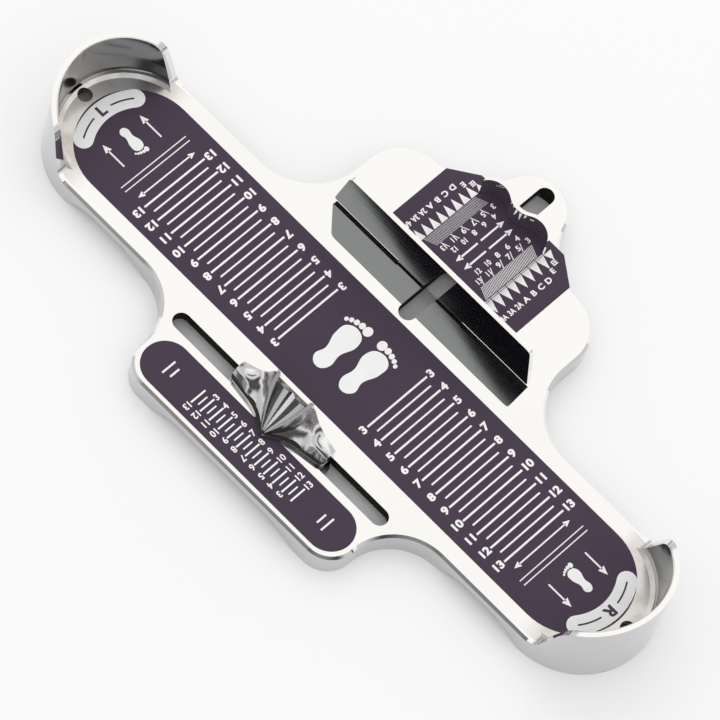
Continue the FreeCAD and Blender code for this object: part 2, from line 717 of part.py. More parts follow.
def close_with_lines(sketch, first, last, corners):
    """Joins the end of the last curve to the start of the first through the corners."""
    corners = [(as_size(x), as_size(y)) for x, y in corners]
    points = [Vector(x.number, y.number, 0) for x, y in corners]
    begin = sketch.getPoint(*last)
    end = sketch.getPoint(*first)
    path = [Vector(begin.x, begin.y, 0)] + points + [Vector(end.x, end.y, 0)]
    lines = [sketch.addGeometry(Part.LineSegment(a, b)) for a, b in zip(path, path[1:])]
    sketch.addConstraint(Sketcher.Constraint("Coincident", *last, lines[0], START))
    for one, other, (x, y) in zip(lines, lines[1:], corners):
        sketch.addConstraint(Sketcher.Constraint("Coincident", one, END, other, START))
        pin(sketch, other, START, x, y)
    sketch.addConstraint(Sketcher.Constraint("Coincident", lines[-1], END, *first))


def guide_block(body, name, centres, screw_places, slide_bottom):
    """The block that runs in a slot, with two round feet that stand on the clamp plate."""
    plan = new_sketch(body, f"{name}_plan", "XY_Plane", slide_bottom)
    obround(plan, *centres, cell("slot_half_width") - cell("key_gap"))
    pad(body, name, plan, slide_bottom - rail_bottom, Reversed=True)
    feet = new_sketch(body, f"{name}_feet_plan", "XY_Plane", rail_bottom)
    holes = new_sketch(body, f"{name}_holes", "XY_Plane", clamp_top)
    for place in screw_places:
        circle(feet, *place, cell("boss_radius"))
        circle(holes, *place, cell("screw_radius") + cell("screw_fit"))
    pad(body, f"{name}_feet", feet, cell("clamp_drop"), Reversed=True)
    pocket(body, f"{name}_tapping", holes, cell("tapped_depth"), Reversed=True)


def make_width_bar():
    body = new_body("width_bar_casting")
    gap, side = cell("running_gap"), cell("slide_half_width")
    line, thickness = cell("bar_line"), cell("bar_thickness")

    # slide plate, with the brace shape at its outer end
    plan = new_sketch(body, "slide_plan", "XY_Plane", top + gap)
    right, waist, left = lip_curve(plan, 0)
    start = line + cell("bar_slide_lap")
    close_with_lines(plan, (right, START), (left, END), [(-side, start), (side, start)])
    pad(body, "slide_plate", plan, cell("slide_thickness"))

    # finger lip: the brace shape again, raised as a thin wall
    wall = new_sketch(body, "lip_plan", "XY_Plane", top + gap)
    outer = lip_curve(wall, 0)
    inner = lip_curve(wall, cell("lip_thickness"))
    for outer_end, inner_end in (((outer[0], START), (inner[0], START)),
                                 ((outer[2], END), (inner[2], END))):
        begin, end = wall.getPoint(*outer_end), wall.getPoint(*inner_end)
        link = wall.addGeometry(Part.LineSegment(Vector(begin.x, begin.y, 0), Vector(end.x, end.y, 0)))
        wall.addConstraint(Sketcher.Constraint("Coincident", link, START, *outer_end))
        wall.addConstraint(Sketcher.Constraint("Coincident", link, END, *inner_end))
    pad(body, "finger_lip", wall, cell("lip_height") - gap)

    # the upright bar, raised off the base beside the slide plate
    view = new_sketch(body, "bar_view", "XZ_Plane", -line)
    low, lap, high = top + cell("bar_gap"), top + cell("bar_slide_gap"), top + cell("bar_height")
    bottom, crown = cell("bar_half_bottom"), cell("bar_half_top")
    polygon(view, [
        (-bottom, low, cell("bar_low_round")), (-side, low), (-side, lap), (side, lap),
        (side, low), (bottom, low, cell("bar_low_round")),
        (crown, high, cell("bar_high_round")), (-crown, high, cell("bar_high_round")),
    ])
    pad(body, "bar", view, thickness, Reversed=True)

    half = cell("slot_half_width") - cell("key_gap")
    start, end = cell("width_key_start") + half, cell("width_key_end") - half
    middle, reach = width_slider_middle(), cell("width_screw_half")
    guide_block(body, "width_key", ((0, start), (0, end)),
                ((0, middle - reach), (0, middle + reach)), top + gap)
    return body


def width_slider_middle():
    return (cell("width_key_start") + cell("width_key_end")) * 0.5


def make_width_chart_plate():
    """The printed sheet on the slide plate, up to the inside of the finger lip."""
    body = new_body("width_chart")
    side = cell("slide_half_width")
    plan = new_sketch(body, "chart_plan", "XY_Plane",
                      top + cell("running_gap") + cell("slide_thickness"))
    right, _, left = lip_curve(plan, cell("lip_thickness") + cell("plate_fit"))
    start = cell("bar_line") + cell("bar_thickness") + cell("chart_margin")
    close_with_lines(plan, (right, START), (left, END), [(-side, start), (side, start)])
    pad(body, "chart_sheet", plan, cell("chart_thickness"))
    return body


# ---------------------------------------------------------------- clamp plates, springs and screws


def slider_places(name):
    """Where a slider's clamp plate and screws are: middle, direction, clamp half length, screw half."""
    if name == "width":
        return (Size(0), width_slider_middle()), (0, 1), cell("width_clamp_half"), cell("width_screw_half")
    return (Size(0), -cell("arch_slot_line")), (1, 0), cell("arch_clamp_half"), cell("arch_screw_half")


def along(name, distance):
    """The point on a slider's middle line at a distance from its middle."""
    (x, y), (dx, dy), _, _ = slider_places(name)
    return x + distance * dx, y + distance * dy


def make_clamp_plate(name):
    _, _, half, screws = slider_places(name)
    body = new_body(f"{name}_clamp")
    width = cell("clamp_half_width")
    plan = new_sketch(body, f"{name}_clamp_plan", "XY_Plane", clamp_top)
    obround(plan, along(name, width - half), along(name, half - width), width)
    for distance in (-screws, screws):
        circle(plan, *along(name, distance), cell("screw_radius") + cell("screw_fit"))
    pad(body, f"{name}_clamp_sheet", plan, cell("clamp_thickness"), Reversed=True)
    return body


def make_spring(name):
    """A bowed leaf: its ends lie on the clamp plate and its crown bears on the slot's rails."""
    (x, y), _, half, screws = slider_places(name)
    body = new_body(f"{name}_spring_leaf")
    thickness, inset = cell("spring_thickness"), cell("spring_inset")
    span = half - inset * 2
    low, high = clamp_top, rail_bottom - cell("running_gap") - thickness
    foot, crown = span - cell("spring_foot"), cell("spring_crown")
    if name == "arch":
        view = new_sketch(body, "arch_spring_view", "XZ_Plane", lift=-y, shift=x)
    else:
        view = new_sketch(body, "width_spring_view", "YZ_Plane", lift=x, shift=y)
    polygon(view, [
        (-span, low), (-foot, low), (-crown, high), (crown, high), (foot, low), (span, low),
        (span, low + thickness), (foot, low + thickness), (crown, high + thickness),
        (-crown, high + thickness), (-foot, low + thickness), (-span, low + thickness),
    ])
    pad(body, f"{name}_leaf", view, (cell("clamp_half_width") - inset) * 2, Midplane=True)
    holes = new_sketch(body, f"{name}_spring_holes", "XY_Plane")
    for distance in (-screws, screws):
        circle(holes, *along(name, distance), cell("boss_radius") + cell("key_gap"))
    pocket(body, f"{name}_leaf_holes", holes, Midplane=True)
    return body


def turned(name, place, profile):
    """A body of revolution about the vertical line through a place of the plan."""
    body = new_body(name)
    view = new_sketch(body, f"{name}_view", "XZ_Plane", lift=-place[1], shift=place[0])
    polygon(view, profile)
    spin = feature(body, "Revolution", f"{name}_turning", view)
    spin.ReferenceAxis = (view, ["V_Axis"])
    spin.Angle = 360
    return body


def make_screw(name, place):
    """A flat-topped screw from below, through washer, clamp plate and spring into the guide block."""
    seat = clamp_top - cell("clamp_thickness") - cell("washer_thickness")
    head, shank = cell("screw_head_radius"), cell("screw_radius")
    low, high = seat - cell("screw_head_height"), seat + cell("screw_length")
    return turned(name, place, [
        (0, low), (head, low), (head, seat), (shank, seat), (shank, high), (0, high),
    ])


def make_washer(name, place):
    high = clamp_top - cell("clamp_thickness")
    low = high - cell("washer_thickness")
    inner, outer = cell("screw_radius") + cell("screw_fit"), cell("washer_radius")
    return turned(name, place, [(inner, low), (outer, low), (outer, high), (inner, high)])


# ---------------------------------------------------------------- arch pointer


def fan_section(sketch, share, base):
    """The pointer's fan at a share of the way from its wall (0) to its tip (1), seen from the foot.

    Each half has a high rib, a pleat with a hollow floor and half of the low middle rib. All of it
    runs together at the tip: the heights evenly, the ribs in a bulge.
    """
    end = DIMENSIONS["fan_tip_scale"]
    even = 1 - (1 - end) * share
    bulge = 1 - (1 - end) * share ** DIMENSIONS["rib_bulge"]
    rib, high = cell("rib_half") * bulge, cell("pointer_height") * even
    land, floor = cell("rib_land") * bulge, cell("pleat_height") * even
    outer, inner = cell("pleat_half") * bulge, cell("pleat_start") * bulge
    right = [
        (rib + cell("rib_foot") * even, Size(0)), (rib, high), (rib - land, high), (outer, floor),
        ((outer + inner) * 0.5, floor - cell("pleat_sag") * even), (inner, floor),
    ]
    left = [(-x, height) for x, height in reversed(right)]
    crest = [(Size(0), cell("middle_rib_height") * even)]
    polygon(sketch, [(x, base + height) for x, height in right + crest + left])


def flank_section(sketch, count, base):
    """One cut across the pointer's flank, seen along the foot bed from its far end."""
    wall, reach = cell("pointer_line"), cell(f"flank_{count}_reach")
    bend, bend_height = cell(f"flank_{count}_bend"), cell(f"flank_{count}_bend_height")
    low = base + cell("wing_height") - cell("flank_sink")
    polygon(sketch, [
        (-reach, base), (-wall, base), (-wall, base + cell(f"flank_{count}_wall")),
        (-bend, base + bend_height, cell(f"flank_{count}_bend_round")), (-reach, low),
    ])


def make_arch_pointer():
    body = new_body("arch_pointer_casting")
    floor = top + cell("running_gap")
    wall, line, half = cell("pointer_line"), -cell("arch_slot_line"), cell("pointer_half_length")
    edge, corner = cell("wing_end"), cell("wing_corner")
    turn_x, turn_y, turn = cell("wing_x"), cell("wing_y"), cell("wing_round")
    tip, tip_half = cell("pointer_tip"), cell("wing_tip_half")

    # thin wing that reaches over the arch scale with its tip
    plan = new_sketch(body, "wing_plan", "XY_Plane", floor)
    polygon(plan, [
        (-half, -wall), (-half, -edge, corner), (-turn_x, -turn_y, -turn), (-tip_half, -tip),
        (tip_half, -tip), (turn_x, -turn_y, -turn), (half, -edge, corner), (half, -wall),
    ])
    pad(body, "wing", plan, cell("wing_height"))

    # hollow flanks that end in a dome for the fingers
    for side, name in ((-1, "left"), (1, "right")):
        cuts = []
        for count in range(len(FLANK_SECTIONS)):
            place = cell(f"flank_{count}_x") * side
            cuts.append(new_sketch(body, f"{name}_flank_cut_{count}", "YZ_Plane", place))
            flank_section(cuts[-1], count, floor)
        flank = body.newObject("PartDesign::AdditiveLoft", f"{name}_flank")
        flank.Profile = cuts[0]
        flank.Sections = [(cut, [""]) for cut in cuts[1:]]

    # the fan: its ribs run from the foot-facing wall to the tip
    stations = []
    fan_length = tip - cell("fan_tip_inset") - wall
    for count, share in enumerate((0, 1 / 3, 2 / 3, 1)):
        stations.append(new_sketch(body, f"fan_section_{count}", "XZ_Plane", wall + fan_length * share))
        fan_section(stations[-1], share, floor)
    fan = body.newObject("PartDesign::AdditiveLoft", "fan")
    fan.Profile = stations[0]
    fan.Sections = [(station, [""]) for station in stations[1:]]

    # low wall that closes the pleats towards the foot, then the inside curve for the ball of the foot
    rim = new_sketch(body, "rim_view", "XZ_Plane", wall)
    inside, low = cell("pleat_half"), floor + cell("wing_height")
    outside, high = cell("rim_half"), floor + cell("rim_height")
    polygon(rim, [(-inside, low), (inside, low), (outside, high), (-outside, high)])
    pad(body, "rim", rim, cell("rim_thickness"))
    depth, reach = cell("pointer_hollow"), cell("pointer_hollow_half")
    radius = (reach.number**2 + depth.number**2) / (2 * depth.number)
    curve = new_sketch(body, "inside_curve_plan", "XY_Plane", floor)
    circle(curve, 0, radius - (wall + depth), radius)
    pocket(body, "inside_curve", curve, cell("pointer_height") + 1, Reversed=True)

    reach = cell("arch_key_half") - cell("slot_half_width") + cell("key_gap")
    screws = cell("arch_screw_half")
    guide_block(body, "arch_key", ((-reach, line), (reach, line)),
                ((-screws, line), (screws, line)), floor)
    return body


# ---------------------------------------------------------------- the whole device

SUB_PARTS = {
    "base_casting": make_base_casting(),
    "foot_scale_plate": make_foot_scale_plate(),
    "arch_scale_plate": make_arch_scale_plate(),
    "width_scale_plate_left": make_width_scale_plate("width_scale_left", -1),
    "width_scale_plate_right": make_width_scale_plate("width_scale_right", 1),
    "width_bar": make_width_bar(),
    "width_chart_plate": make_width_chart_plate(),
    "arch_pointer": make_arch_pointer(),
}
for slider, ends in (("width", ("inner", "outer")), ("arch", ("left", "right"))):
    SUB_PARTS[f"{slider}_clamp_plate"] = make_clamp_plate(slider)
    SUB_PARTS[f"{slider}_spring"] = make_spring(slider)
    half_span = slider_places(slider)[3]
    for end_name, distance in zip(ends, (-half_span, half_span)):
        spot = along(slider, distance)
        SUB_PARTS[f"{slider}_screw_{end_name}"] = make_screw(f"{slider}_screw_{end_name}_turned", spot)
        SUB_PARTS[f"{slider}_washer_{end_name}"] = make_washer(f"{slider}_washer_{end_name}_turned", spot)

# ---------------------------------------------------------------- check and export

doc.recompute()
for item in doc.Objects:
    if "Invalid" in item.State or "Error" in item.State:
        raise RuntimeError(f"{item.Name}: {item.State} {item.getStatusString()}")
os.makedirs("parts", exist_ok=True)
for node, sub_part in SUB_PARTS.items():
    sub_part.Label = node
    shape = sub_part.Shape
    if shape.isNull() or not shape.isValid():
        raise RuntimeError(f"{node} has no valid shape")
    shape.exportStep(f"parts/{node}.step")
    box = shape.BoundBox
    print(node, len(shape.Solids), "solids", round(shape.Volume), "mm3",
          [round(edge, 2) for edge in (box.XMin, box.YMin, box.ZMin, box.XMax, box.YMax, box.ZMax)])
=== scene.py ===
# %% [markdown]
# # A foot measuring device
#
# The real thing is a polished aluminium casting with a heel cup at each end, thin printed scale
# sheets let into its top, and two sliders: a bar for the width and a pointer for the arch. The
# solids come from CAD and stay as they are. What is left for Blender is what the eye reads next:
# mirror-bright metal, dark satin sheets, the print on them, and a studio for the metal to reflect.

# %% Load the solids
import math

import bmesh
import bpy
from mathutils import Matrix, Vector


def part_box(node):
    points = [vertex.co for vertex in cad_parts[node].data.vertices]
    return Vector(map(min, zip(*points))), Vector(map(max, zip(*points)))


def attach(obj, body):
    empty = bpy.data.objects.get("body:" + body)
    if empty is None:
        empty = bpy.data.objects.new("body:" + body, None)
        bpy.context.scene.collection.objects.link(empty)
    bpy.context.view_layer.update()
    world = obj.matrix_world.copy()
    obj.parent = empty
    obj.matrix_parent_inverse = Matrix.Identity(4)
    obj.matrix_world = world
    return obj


MM = 0.001
INCH = 25.4 * MM

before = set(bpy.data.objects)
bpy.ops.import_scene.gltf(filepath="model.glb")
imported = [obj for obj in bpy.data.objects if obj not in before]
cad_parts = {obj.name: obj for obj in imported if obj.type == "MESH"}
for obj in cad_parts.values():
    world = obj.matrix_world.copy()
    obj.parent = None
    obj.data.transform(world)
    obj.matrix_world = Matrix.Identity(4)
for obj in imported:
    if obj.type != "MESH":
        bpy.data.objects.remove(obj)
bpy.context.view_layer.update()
print("solids:", len(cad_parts))

# %% [markdown]
# ## Where things are
#
# Every solid already sits where it belongs, so the places of the print are read from the sheets'
# own boxes. Only the spacing of the scales is new: shoe sizes are a third of an inch apart, and
# widths three sixteenths of an inch.

# %% Places read from the solids
foot_low, foot_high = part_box("foot_scale_plate")
arch_low, arch_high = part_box("arch_scale_plate")
base_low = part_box("base_casting")[0]
chart_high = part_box("width_chart_plate")[1]
foot_line = (foot_low.y + foot_high.y) / 2
arch_line = (arch_low.y + arch_high.y) / 2
top_face = foot_high.z
print("foot line y:", round(foot_line / MM, 2), "top face z:", round(top_face / MM, 2))

# %% [markdown]
# ## Shader maths as plain expressions
#
# A node tree is only arithmetic with pictures, and arithmetic reads best as a formula. `Value`
# wraps one output socket, and each operator adds a Math node behind it. `Finish` owns a node tree
# and has a single method for every other kind of node.

# %% Value: a socket that can be added and multiplied
class Value:
    """An output socket of a finish's node tree."""

    def __init__(self, finish, socket):
        self.finish = finish
        self.socket = socket

    def __getitem__(self, name):
        return Value(self.finish, self.socket.node.outputs[name])

    def maths(self, operation, *numbers):
        return self.finish.node(
            "ShaderNodeMath", {"operation": operation}, dict(enumerate(numbers)))

    def __add__(self, other):
        return self.maths("ADD", self, other)

    def __sub__(self, other):
        return self.maths("SUBTRACT", self, other)

    def __rsub__(self, other):
        return self.maths("SUBTRACT", other, self)

    def __mul__(self, other):
        return self.maths("MULTIPLY", self, other)

    def __lt__(self, other):
        return self.maths("LESS_THAN", self, other)

    def __gt__(self, other):
        return self.maths("GREATER_THAN", self, other)

    def __abs__(self):
        return self.maths("ABSOLUTE", self)

    def __or__(self, other):
        return self.maths("MAXIMUM", self, other)

    __radd__ = __add__
    __rmul__ = __mul__

    def between(self, low, high):
        """0 below low, 1 above high, and a smooth step from one to the other."""
        return self.finish.node(
            "ShaderNodeMapRange", {"interpolation_type": "SMOOTHSTEP"},
            {"Value": self, "From Min": low, "From Max": high})


# %% Finish: a node tree with one way to add a node
def shown(sockets, name):
    """A node's socket by number, or by name among those that its settings show."""
    if isinstance(name, int):
        return sockets[name]
    return next(socket for socket in sockets if socket.name == name and socket.enabled)


def set_stops(ramp, stops):
    """Fills a colour ramp from (position, colour) pairs."""
    while len(ramp.elements) < len(stops):
        ramp.elements.new(1.0)
    for element, (position, colour) in zip(ramp.elements, stops):
        element.position = position
        element.color = (*colour, 1)


class Finish:
    """A material. Its surface is a Principled shader whose sockets are set by name."""

    def __init__(self, name):
        self.material = bpy.data.materials.new(name)
        self.material.use_nodes = True
        self.tree = self.material.node_tree
        self.surface = self.tree.nodes["Principled BSDF"]

    def node(self, kind, settings=(), sockets=()):
        """Adds a node: settings first, then its sockets as numbers or links."""
        new = self.tree.nodes.new(kind)
        for name, choice in dict(settings).items():
            if name == "stops":
                set_stops(new.color_ramp, choice)
            else:
                setattr(new, name, choice)
        for name, number in dict(sockets).items():
            self.plug(shown(new.inputs, name), number)
        return Value(self, next(out for out in new.outputs if out.enabled))

    def plug(self, socket, number):
        """Links a Value to a socket, or sets the socket to a number, a vector or a colour."""
        if isinstance(number, Value):
            self.tree.links.new(number.socket, socket)
        elif socket.type == "RGBA":
            socket.default_value = (*number, 1)
        else:
            socket.default_value = number

    def shade(self, **sockets):
        """Sets sockets of the surface: Base_Color stands for Base Color."""
        for name, number in sockets.items():
            self.plug(self.surface.inputs[name.replace("_", " ")], number)

    def place(self, scale=(1, 1, 1)):
        """The object's own coordinates in metres, stretched by scale."""
        coordinates = self.node("ShaderNodeTexCoord")["Object"]
        return self.node("ShaderNodeMapping", {}, {"Vector": coordinates, "Scale": scale})

    def parts(self, vector):
        """A vector whose X, Y and Z can be taken out by name."""
        return self.node("ShaderNodeSeparateXYZ", {}, {"Vector": vector})

    def facing(self):
        """The way the surface faces, in parts."""
        return self.parts(self.node("ShaderNodeNewGeometry")["Normal"])

    def noise(self, scale, detail, stretch=(1, 1, 1)):
        """Noise from 0 to 1 with about scale features to a metre."""
        return self.node("ShaderNodeTexNoise", {},
                         {"Vector": self.place(stretch), "Scale": scale, "Detail": detail})

    def mix(self, amount, first, second):
        """One colour over another by an amount from 0 to 1."""
        return self.node("ShaderNodeMix", {"data_type": "RGBA"},
                         {"Factor": amount, "A": first, "B": second})

    def relief(self, height, depth):
        """A bumped normal: height from 0 to 1 stands for depth in metres."""
        return self.node("ShaderNodeBump", {},
                         {"Height": height, "Distance": depth, "Strength": 1.0})


# %% [markdown]
# ## Polished aluminium
#
# The casting, the bar and the pointer are aluminium, buffed until they mirror the room. A perfect
# mirror looks computed, so three small things are added: a slow ripple that the buffing wheel
# leaves, fine lines along its path, and a haze that comes and goes. The wheel can't reach the
# hollow underside, which keeps the grainy skin of the mould, painted dark as shade; the slots are
# painted black as shade. The masks below tell these places apart by where a point is and which way
# it faces.

# %% Where the buffing wheel doesn't reach
PLATE_FOOT = top_face - 3.4 * MM
BELOW_TOP = top_face - 0.1 * MM
STEEP = 0.5                 # a face whose facing has less Z than this is nearer to a wall
SLOT_HALF = 4.6 * MM
ARCH_SLOT = foot_line - 45 * MM
ARCH_SLOT_END = 68 * MM
WIDTH_SLOT = (foot_line + 28 * MM, foot_line + 129 * MM)
HEEL_CENTRE, CUP_INSIDE = 141.8 * MM, 35.35 * MM
CUP_BEGINS = (136 * MM, 150 * MM)
print("arch slot y:", round(ARCH_SLOT / MM, 2),
      "width slot y:", [round(y / MM, 2) for y in WIDTH_SLOT])


# The slots' walls: on the casting they are painted near black as shade.
def slot_walls(spot, facing):
    """1 on the walls of the two slots, just below the polished top."""
    arch_slot = (abs(spot["Y"] - ARCH_SLOT) < SLOT_HALF) * (abs(spot["X"]) < ARCH_SLOT_END)
    start, end = WIDTH_SLOT
    width_slot = (abs(spot["X"]) < SLOT_HALF) * (spot["Y"] > start) * (spot["Y"] < end)
    return (arch_slot | width_slot) * (spot["Z"] < BELOW_TOP)


# This mask carries the mould's rough skin and the dark shade painted on it.
def hidden_side(spot, facing):
    """1 where a surface belongs to the underside or to a slot's wall, 0 where it is polished."""
    outwards = spot["X"] * facing["X"] + (spot["Y"] - foot_line) * facing["Y"]
    inner_wall = (outwards < 0.0) * (facing["Z"] < STEEP) * (spot["Z"] < PLATE_FOOT)
    return inner_wall | slot_walls(spot, facing) | (facing["Z"] < -STEEP)


def in_cup(spot):
    """1 inside a heel cup, fading out towards the bed."""
    along = abs(spot["X"])
    across = spot["Y"] - foot_line
    from_centre = (along - HEEL_CENTRE) * (along - HEEL_CENTRE) + across * across
    return (from_centre < CUP_INSIDE ** 2) * along.between(*CUP_BEGINS)


# %% [markdown]
# The colours go over one another from the widest to the smallest place: the polish with its haze,
# the skirt, duller and with painted shade on its upright sides, the painted shade inside a cup, the
# cup's floor that heels have browned, and last the mould's skin painted dark as shade, the painted
# shade in the folds, and the near-black painted shade in the slots, under the bar and in the
# pointer's corner. The roughness adds up in the same order.

# %% The polish, its wear and the painted shade
POLISHED, POLISHED_COOL = (0.915, 0.905, 0.885), (0.865, 0.865, 0.865)
# The skirt colour darkens upright faces, partly a duller buff and partly painted shade; the cup
# wall colour is painted shade inside a cup.
SKIRT_DULL_AND_SHADED, CUP_WALL_SHADE = (0.60, 0.605, 0.615), (0.27, 0.273, 0.28)
HEEL_SATIN, BROWNED = (0.66, 0.64, 0.61), (0.50, 0.465, 0.42)
# The mould's skin colours: the grain between them is real, and their darkness is painted shade
# under and inside the casting.
CAST_SKIN_SHADE, CAST_SKIN_SHADE_PALE = (0.15, 0.148, 0.145), (0.24, 0.235, 0.225)
# Near-black painted shade for the slots, the bar's underside and the pointer's corner; the fold
# colour is painted shade in the pointer's folds.
PAINTED_SHADE, FOLD_SHADE = (0.045, 0.042, 0.038), (0.10, 0.097, 0.09)

# Noise: features to a metre, and detail.
HAZE, WHEEL_LINES, GRAIN, WEAR, RIPPLE = (22, 3), (60, 2), (900, 4), (95, 4), (28, 1)
WHEEL_PATH = (0.6, 14, 14)
HAZE_SHOWS, WEAR_SHOWS, FOLD_SHOWS = (0.42, 0.75), (0.38, 0.72), (0.35, 0.95)
HAZE_COVERS, SATIN_COVERS, BROWN_COVERS = 0.5, 0.8, 0.7
# How much painted shade the folds get, and a slight even darkening of the whole pointer.
FOLD_SHADE_COVERS, EVEN_DARKENING = 0.85, 0.05
LEVEL, WALL_FADES = 0.8, (0.1, STEEP)
WHEEL_DEPTH, SKIN_DEPTH = 0.0001 * MM, 0.12 * MM
FOLD_DEPTH = 9 * MM

CUP_ROUGHER, FLOOR_ROUGHER, WORN_ROUGHER = 0.1, 0.08, 0.08
CAST_ROUGHNESS, PAINTED_SHADE_ROUGHNESS = 0.5, 0.25


def crevices(finish):
    """1 deep in a fold of the casting, 0 where it is open: it masks the shade painted into the
    folds.
    """
    openness = finish.node(
        "ShaderNodeAmbientOcclusion", {"samples": 12, "only_local": True},
        {"Distance": FOLD_DEPTH})
    return 1 - openness["AO"].between(*FOLD_SHOWS)


def polished_aluminium(name, gloss, haze_gloss, ripple_depth, dull_and_shaded, painted_shade_on, shade_folds=False):
    """gloss is the roughness where the wheel did best, haze_gloss what the haze adds to it."""
    finish = Finish(name)
    spot, facing = finish.parts(finish.place()), finish.facing()
    hidden, painted_shade, cup = hidden_side(spot, facing), painted_shade_on(spot, facing), in_cup(spot)
    floor = cup * (facing["Z"] > LEVEL)
    upright = 1 - facing["Z"].between(*WALL_FADES)
    haze = finish.noise(*HAZE).between(*HAZE_SHOWS)
    lines = finish.noise(*WHEEL_LINES, stretch=WHEEL_PATH)
    grain = finish.noise(*GRAIN)
    worn = finish.noise(*WEAR).between(*WEAR_SHOWS) * floor

    metal = finish.mix(haze * HAZE_COVERS, POLISHED, POLISHED_COOL)
    # Upright faces get the skirt colour: a duller buff with painted shade on the sides.
    metal = finish.mix(upright * dull_and_shaded, metal, SKIRT_DULL_AND_SHADED)
    # The inside walls of a cup are painted dark as shade.
    metal = finish.mix(cup * upright, metal, CUP_WALL_SHADE)
    metal = finish.mix(floor * SATIN_COVERS, metal, HEEL_SATIN)
    metal = finish.mix(worn * BROWN_COVERS, metal, BROWNED)
    # Hidden faces keep the mould's grainy skin, painted dark as shade.
    metal = finish.mix(hidden, metal, finish.mix(grain, CAST_SKIN_SHADE, CAST_SKIN_SHADE_PALE))
    if shade_folds:
        # Painted shade in the folds, and a slight even darkening of the whole pointer.
        metal = finish.mix(crevices(finish) * FOLD_SHADE_COVERS + EVEN_DARKENING, metal, FOLD_SHADE)
    # Near-black painted shade in the slots, under the bar and in the pointer's corner.
    metal = finish.mix(painted_shade, metal, PAINTED_SHADE)

    buffed = gloss + haze_gloss * haze + gloss * lines + cup * CUP_ROUGHER
    buffed = buffed + floor * (FLOOR_ROUGHER + WORN_ROUGHER * worn)
    roughness = (1 - hidden) * buffed + hidden * CAST_ROUGHNESS + painted_shade * PAINTED_SHADE_ROUGHNESS

    ripple = finish.relief(finish.noise(*RIPPLE), ripple_depth)
    wheel = finish.relief(lines * (1 - hidden), WHEEL_DEPTH)
    skin = finish.relief(grain * hidden, SKIN_DEPTH)
    finish.plug(wheel.socket.node.inputs["Normal"], ripple)
    finish.plug(skin.socket.node.inputs["Normal"], wheel)
    finish.shade(Base_Color=metal, Metallic=1.0, Roughness=roughness, Normal=skin)
    return finish.material


def casting_finish():
    return polished_aluminium("polished_casting", gloss=0.012, haze_gloss=0.014,
                              ripple_depth=0.006 * MM, dull_and_shaded=0.9, painted_shade_on=slot_walls)


# %% [markdown]
# The bar is the best mirror on the device: it is flat and wiped each time that it is used. Only
# its underside, where it slides, is painted black as shade. On the pointer the same painted dark
# line lies in the corner between the hollow flanks and the low pad that they stand on, and the
# folds between its ribs are painted dark as shade, with the whole pointer a little darker. An
# Ambient Occlusion node finds the folds: it is 0 where a point can't see out.

# %% The sliders' finishes
PAD_CORNER = top_face + 2.8 * MM
OVERHANG, NEARLY_LEVEL = -0.3, 0.7


# The bar's underside, painted black as shade.
def under_the_bar(spot, facing):
    return (spot["Z"] > top_face) * (facing["Z"] < OVERHANG)


# The corner between the pointer's flanks and its pad, painted dark as shade.
def flank_corner(spot, facing):
    return (spot["Z"] > top_face) * (spot["Z"] < PAD_CORNER) * (facing["Z"] > NEARLY_LEVEL)


def bar_finish():
    return polished_aluminium("polished_bar", gloss=0.006, haze_gloss=0.006,
                              ripple_depth=0.0015 * MM, dull_and_shaded=0.0, painted_shade_on=under_the_bar)


def pointer_finish():
    return polished_aluminium("buffed_pointer", gloss=0.12, haze_gloss=0.05,
                              ripple_depth=0.02 * MM, dull_and_shaded=0.3, painted_shade_on=flank_corner,
                              shade_folds=True)


# %% [markdown]
# ## The scale sheets
#
# Each scale is a thin aluminium sheet, dyed dark violet and sealed, which is why it looks satin and
# not glossy. The dye stays on the face: where the sheet was cut, bare metal shows as a thin bright
# line. A mask made from the normal is enough to tell the cut edge from the face.

# %% The dyed sheet's finish
VIOLET, VIOLET_PALE = (0.046, 0.027, 0.053), (0.058, 0.037, 0.066)
SHEET_METAL = (0.80, 0.80, 0.80)
ROLLED_DEPTH = 0.003 * MM


def dyed_sheet():
    finish = Finish("dyed_sheet")
    cut_edge = finish.facing()["Z"] < STEEP
    cloud = finish.noise(scale=35, detail=3)
    rolled = finish.noise(scale=70, detail=3, stretch=(0.5, 30, 30))
    dye = finish.mix(cloud, VIOLET, VIOLET_PALE)
    finish.shade(
        Base_Color=finish.mix(cut_edge, dye, SHEET_METAL),
        Metallic=cut_edge,
        Roughness=0.38 + 0.08 * rolled,
        Normal=finish.relief(rolled, ROLLED_DEPTH),
        Specular_IOR_Level=0.32,
    )
    return finish.material


# %% [markdown]
# ## Print, plated steel and spring steel
#
# The print is a warm white enamel, a little uneven where it was wiped off the sheet. The parts that
# hold the sliders from below are zinc-plated, with a faint yellow and blue bloom, and the two leaf
# springs are blued by their hardening heat.

# %% The other finishes
ENAMEL_WHITE, ENAMEL_WIPED = (0.97, 0.965, 0.96), (0.86, 0.85, 0.86)
ZINC_WARM, ZINC_COOL = (0.66, 0.64, 0.58), (0.55, 0.58, 0.64)
BLUED, BRONZED, STRAW = (0.05, 0.07, 0.14), (0.10, 0.10, 0.13), (0.22, 0.15, 0.09)
SPANGLE_DEPTH, DRAWN_DEPTH = 0.006 * MM, 0.002 * MM
WIPED_SHOWS, WIPED_COVERS = (0.45, 0.8), 0.35


def white_enamel():
    finish = Finish("white_enamel")
    wiped = finish.noise(scale=260, detail=3).between(*WIPED_SHOWS)
    finish.shade(
        Base_Color=finish.mix(wiped * WIPED_COVERS, ENAMEL_WHITE, ENAMEL_WIPED),
        Roughness=0.42 + 0.12 * wiped,
    )
    return finish.material


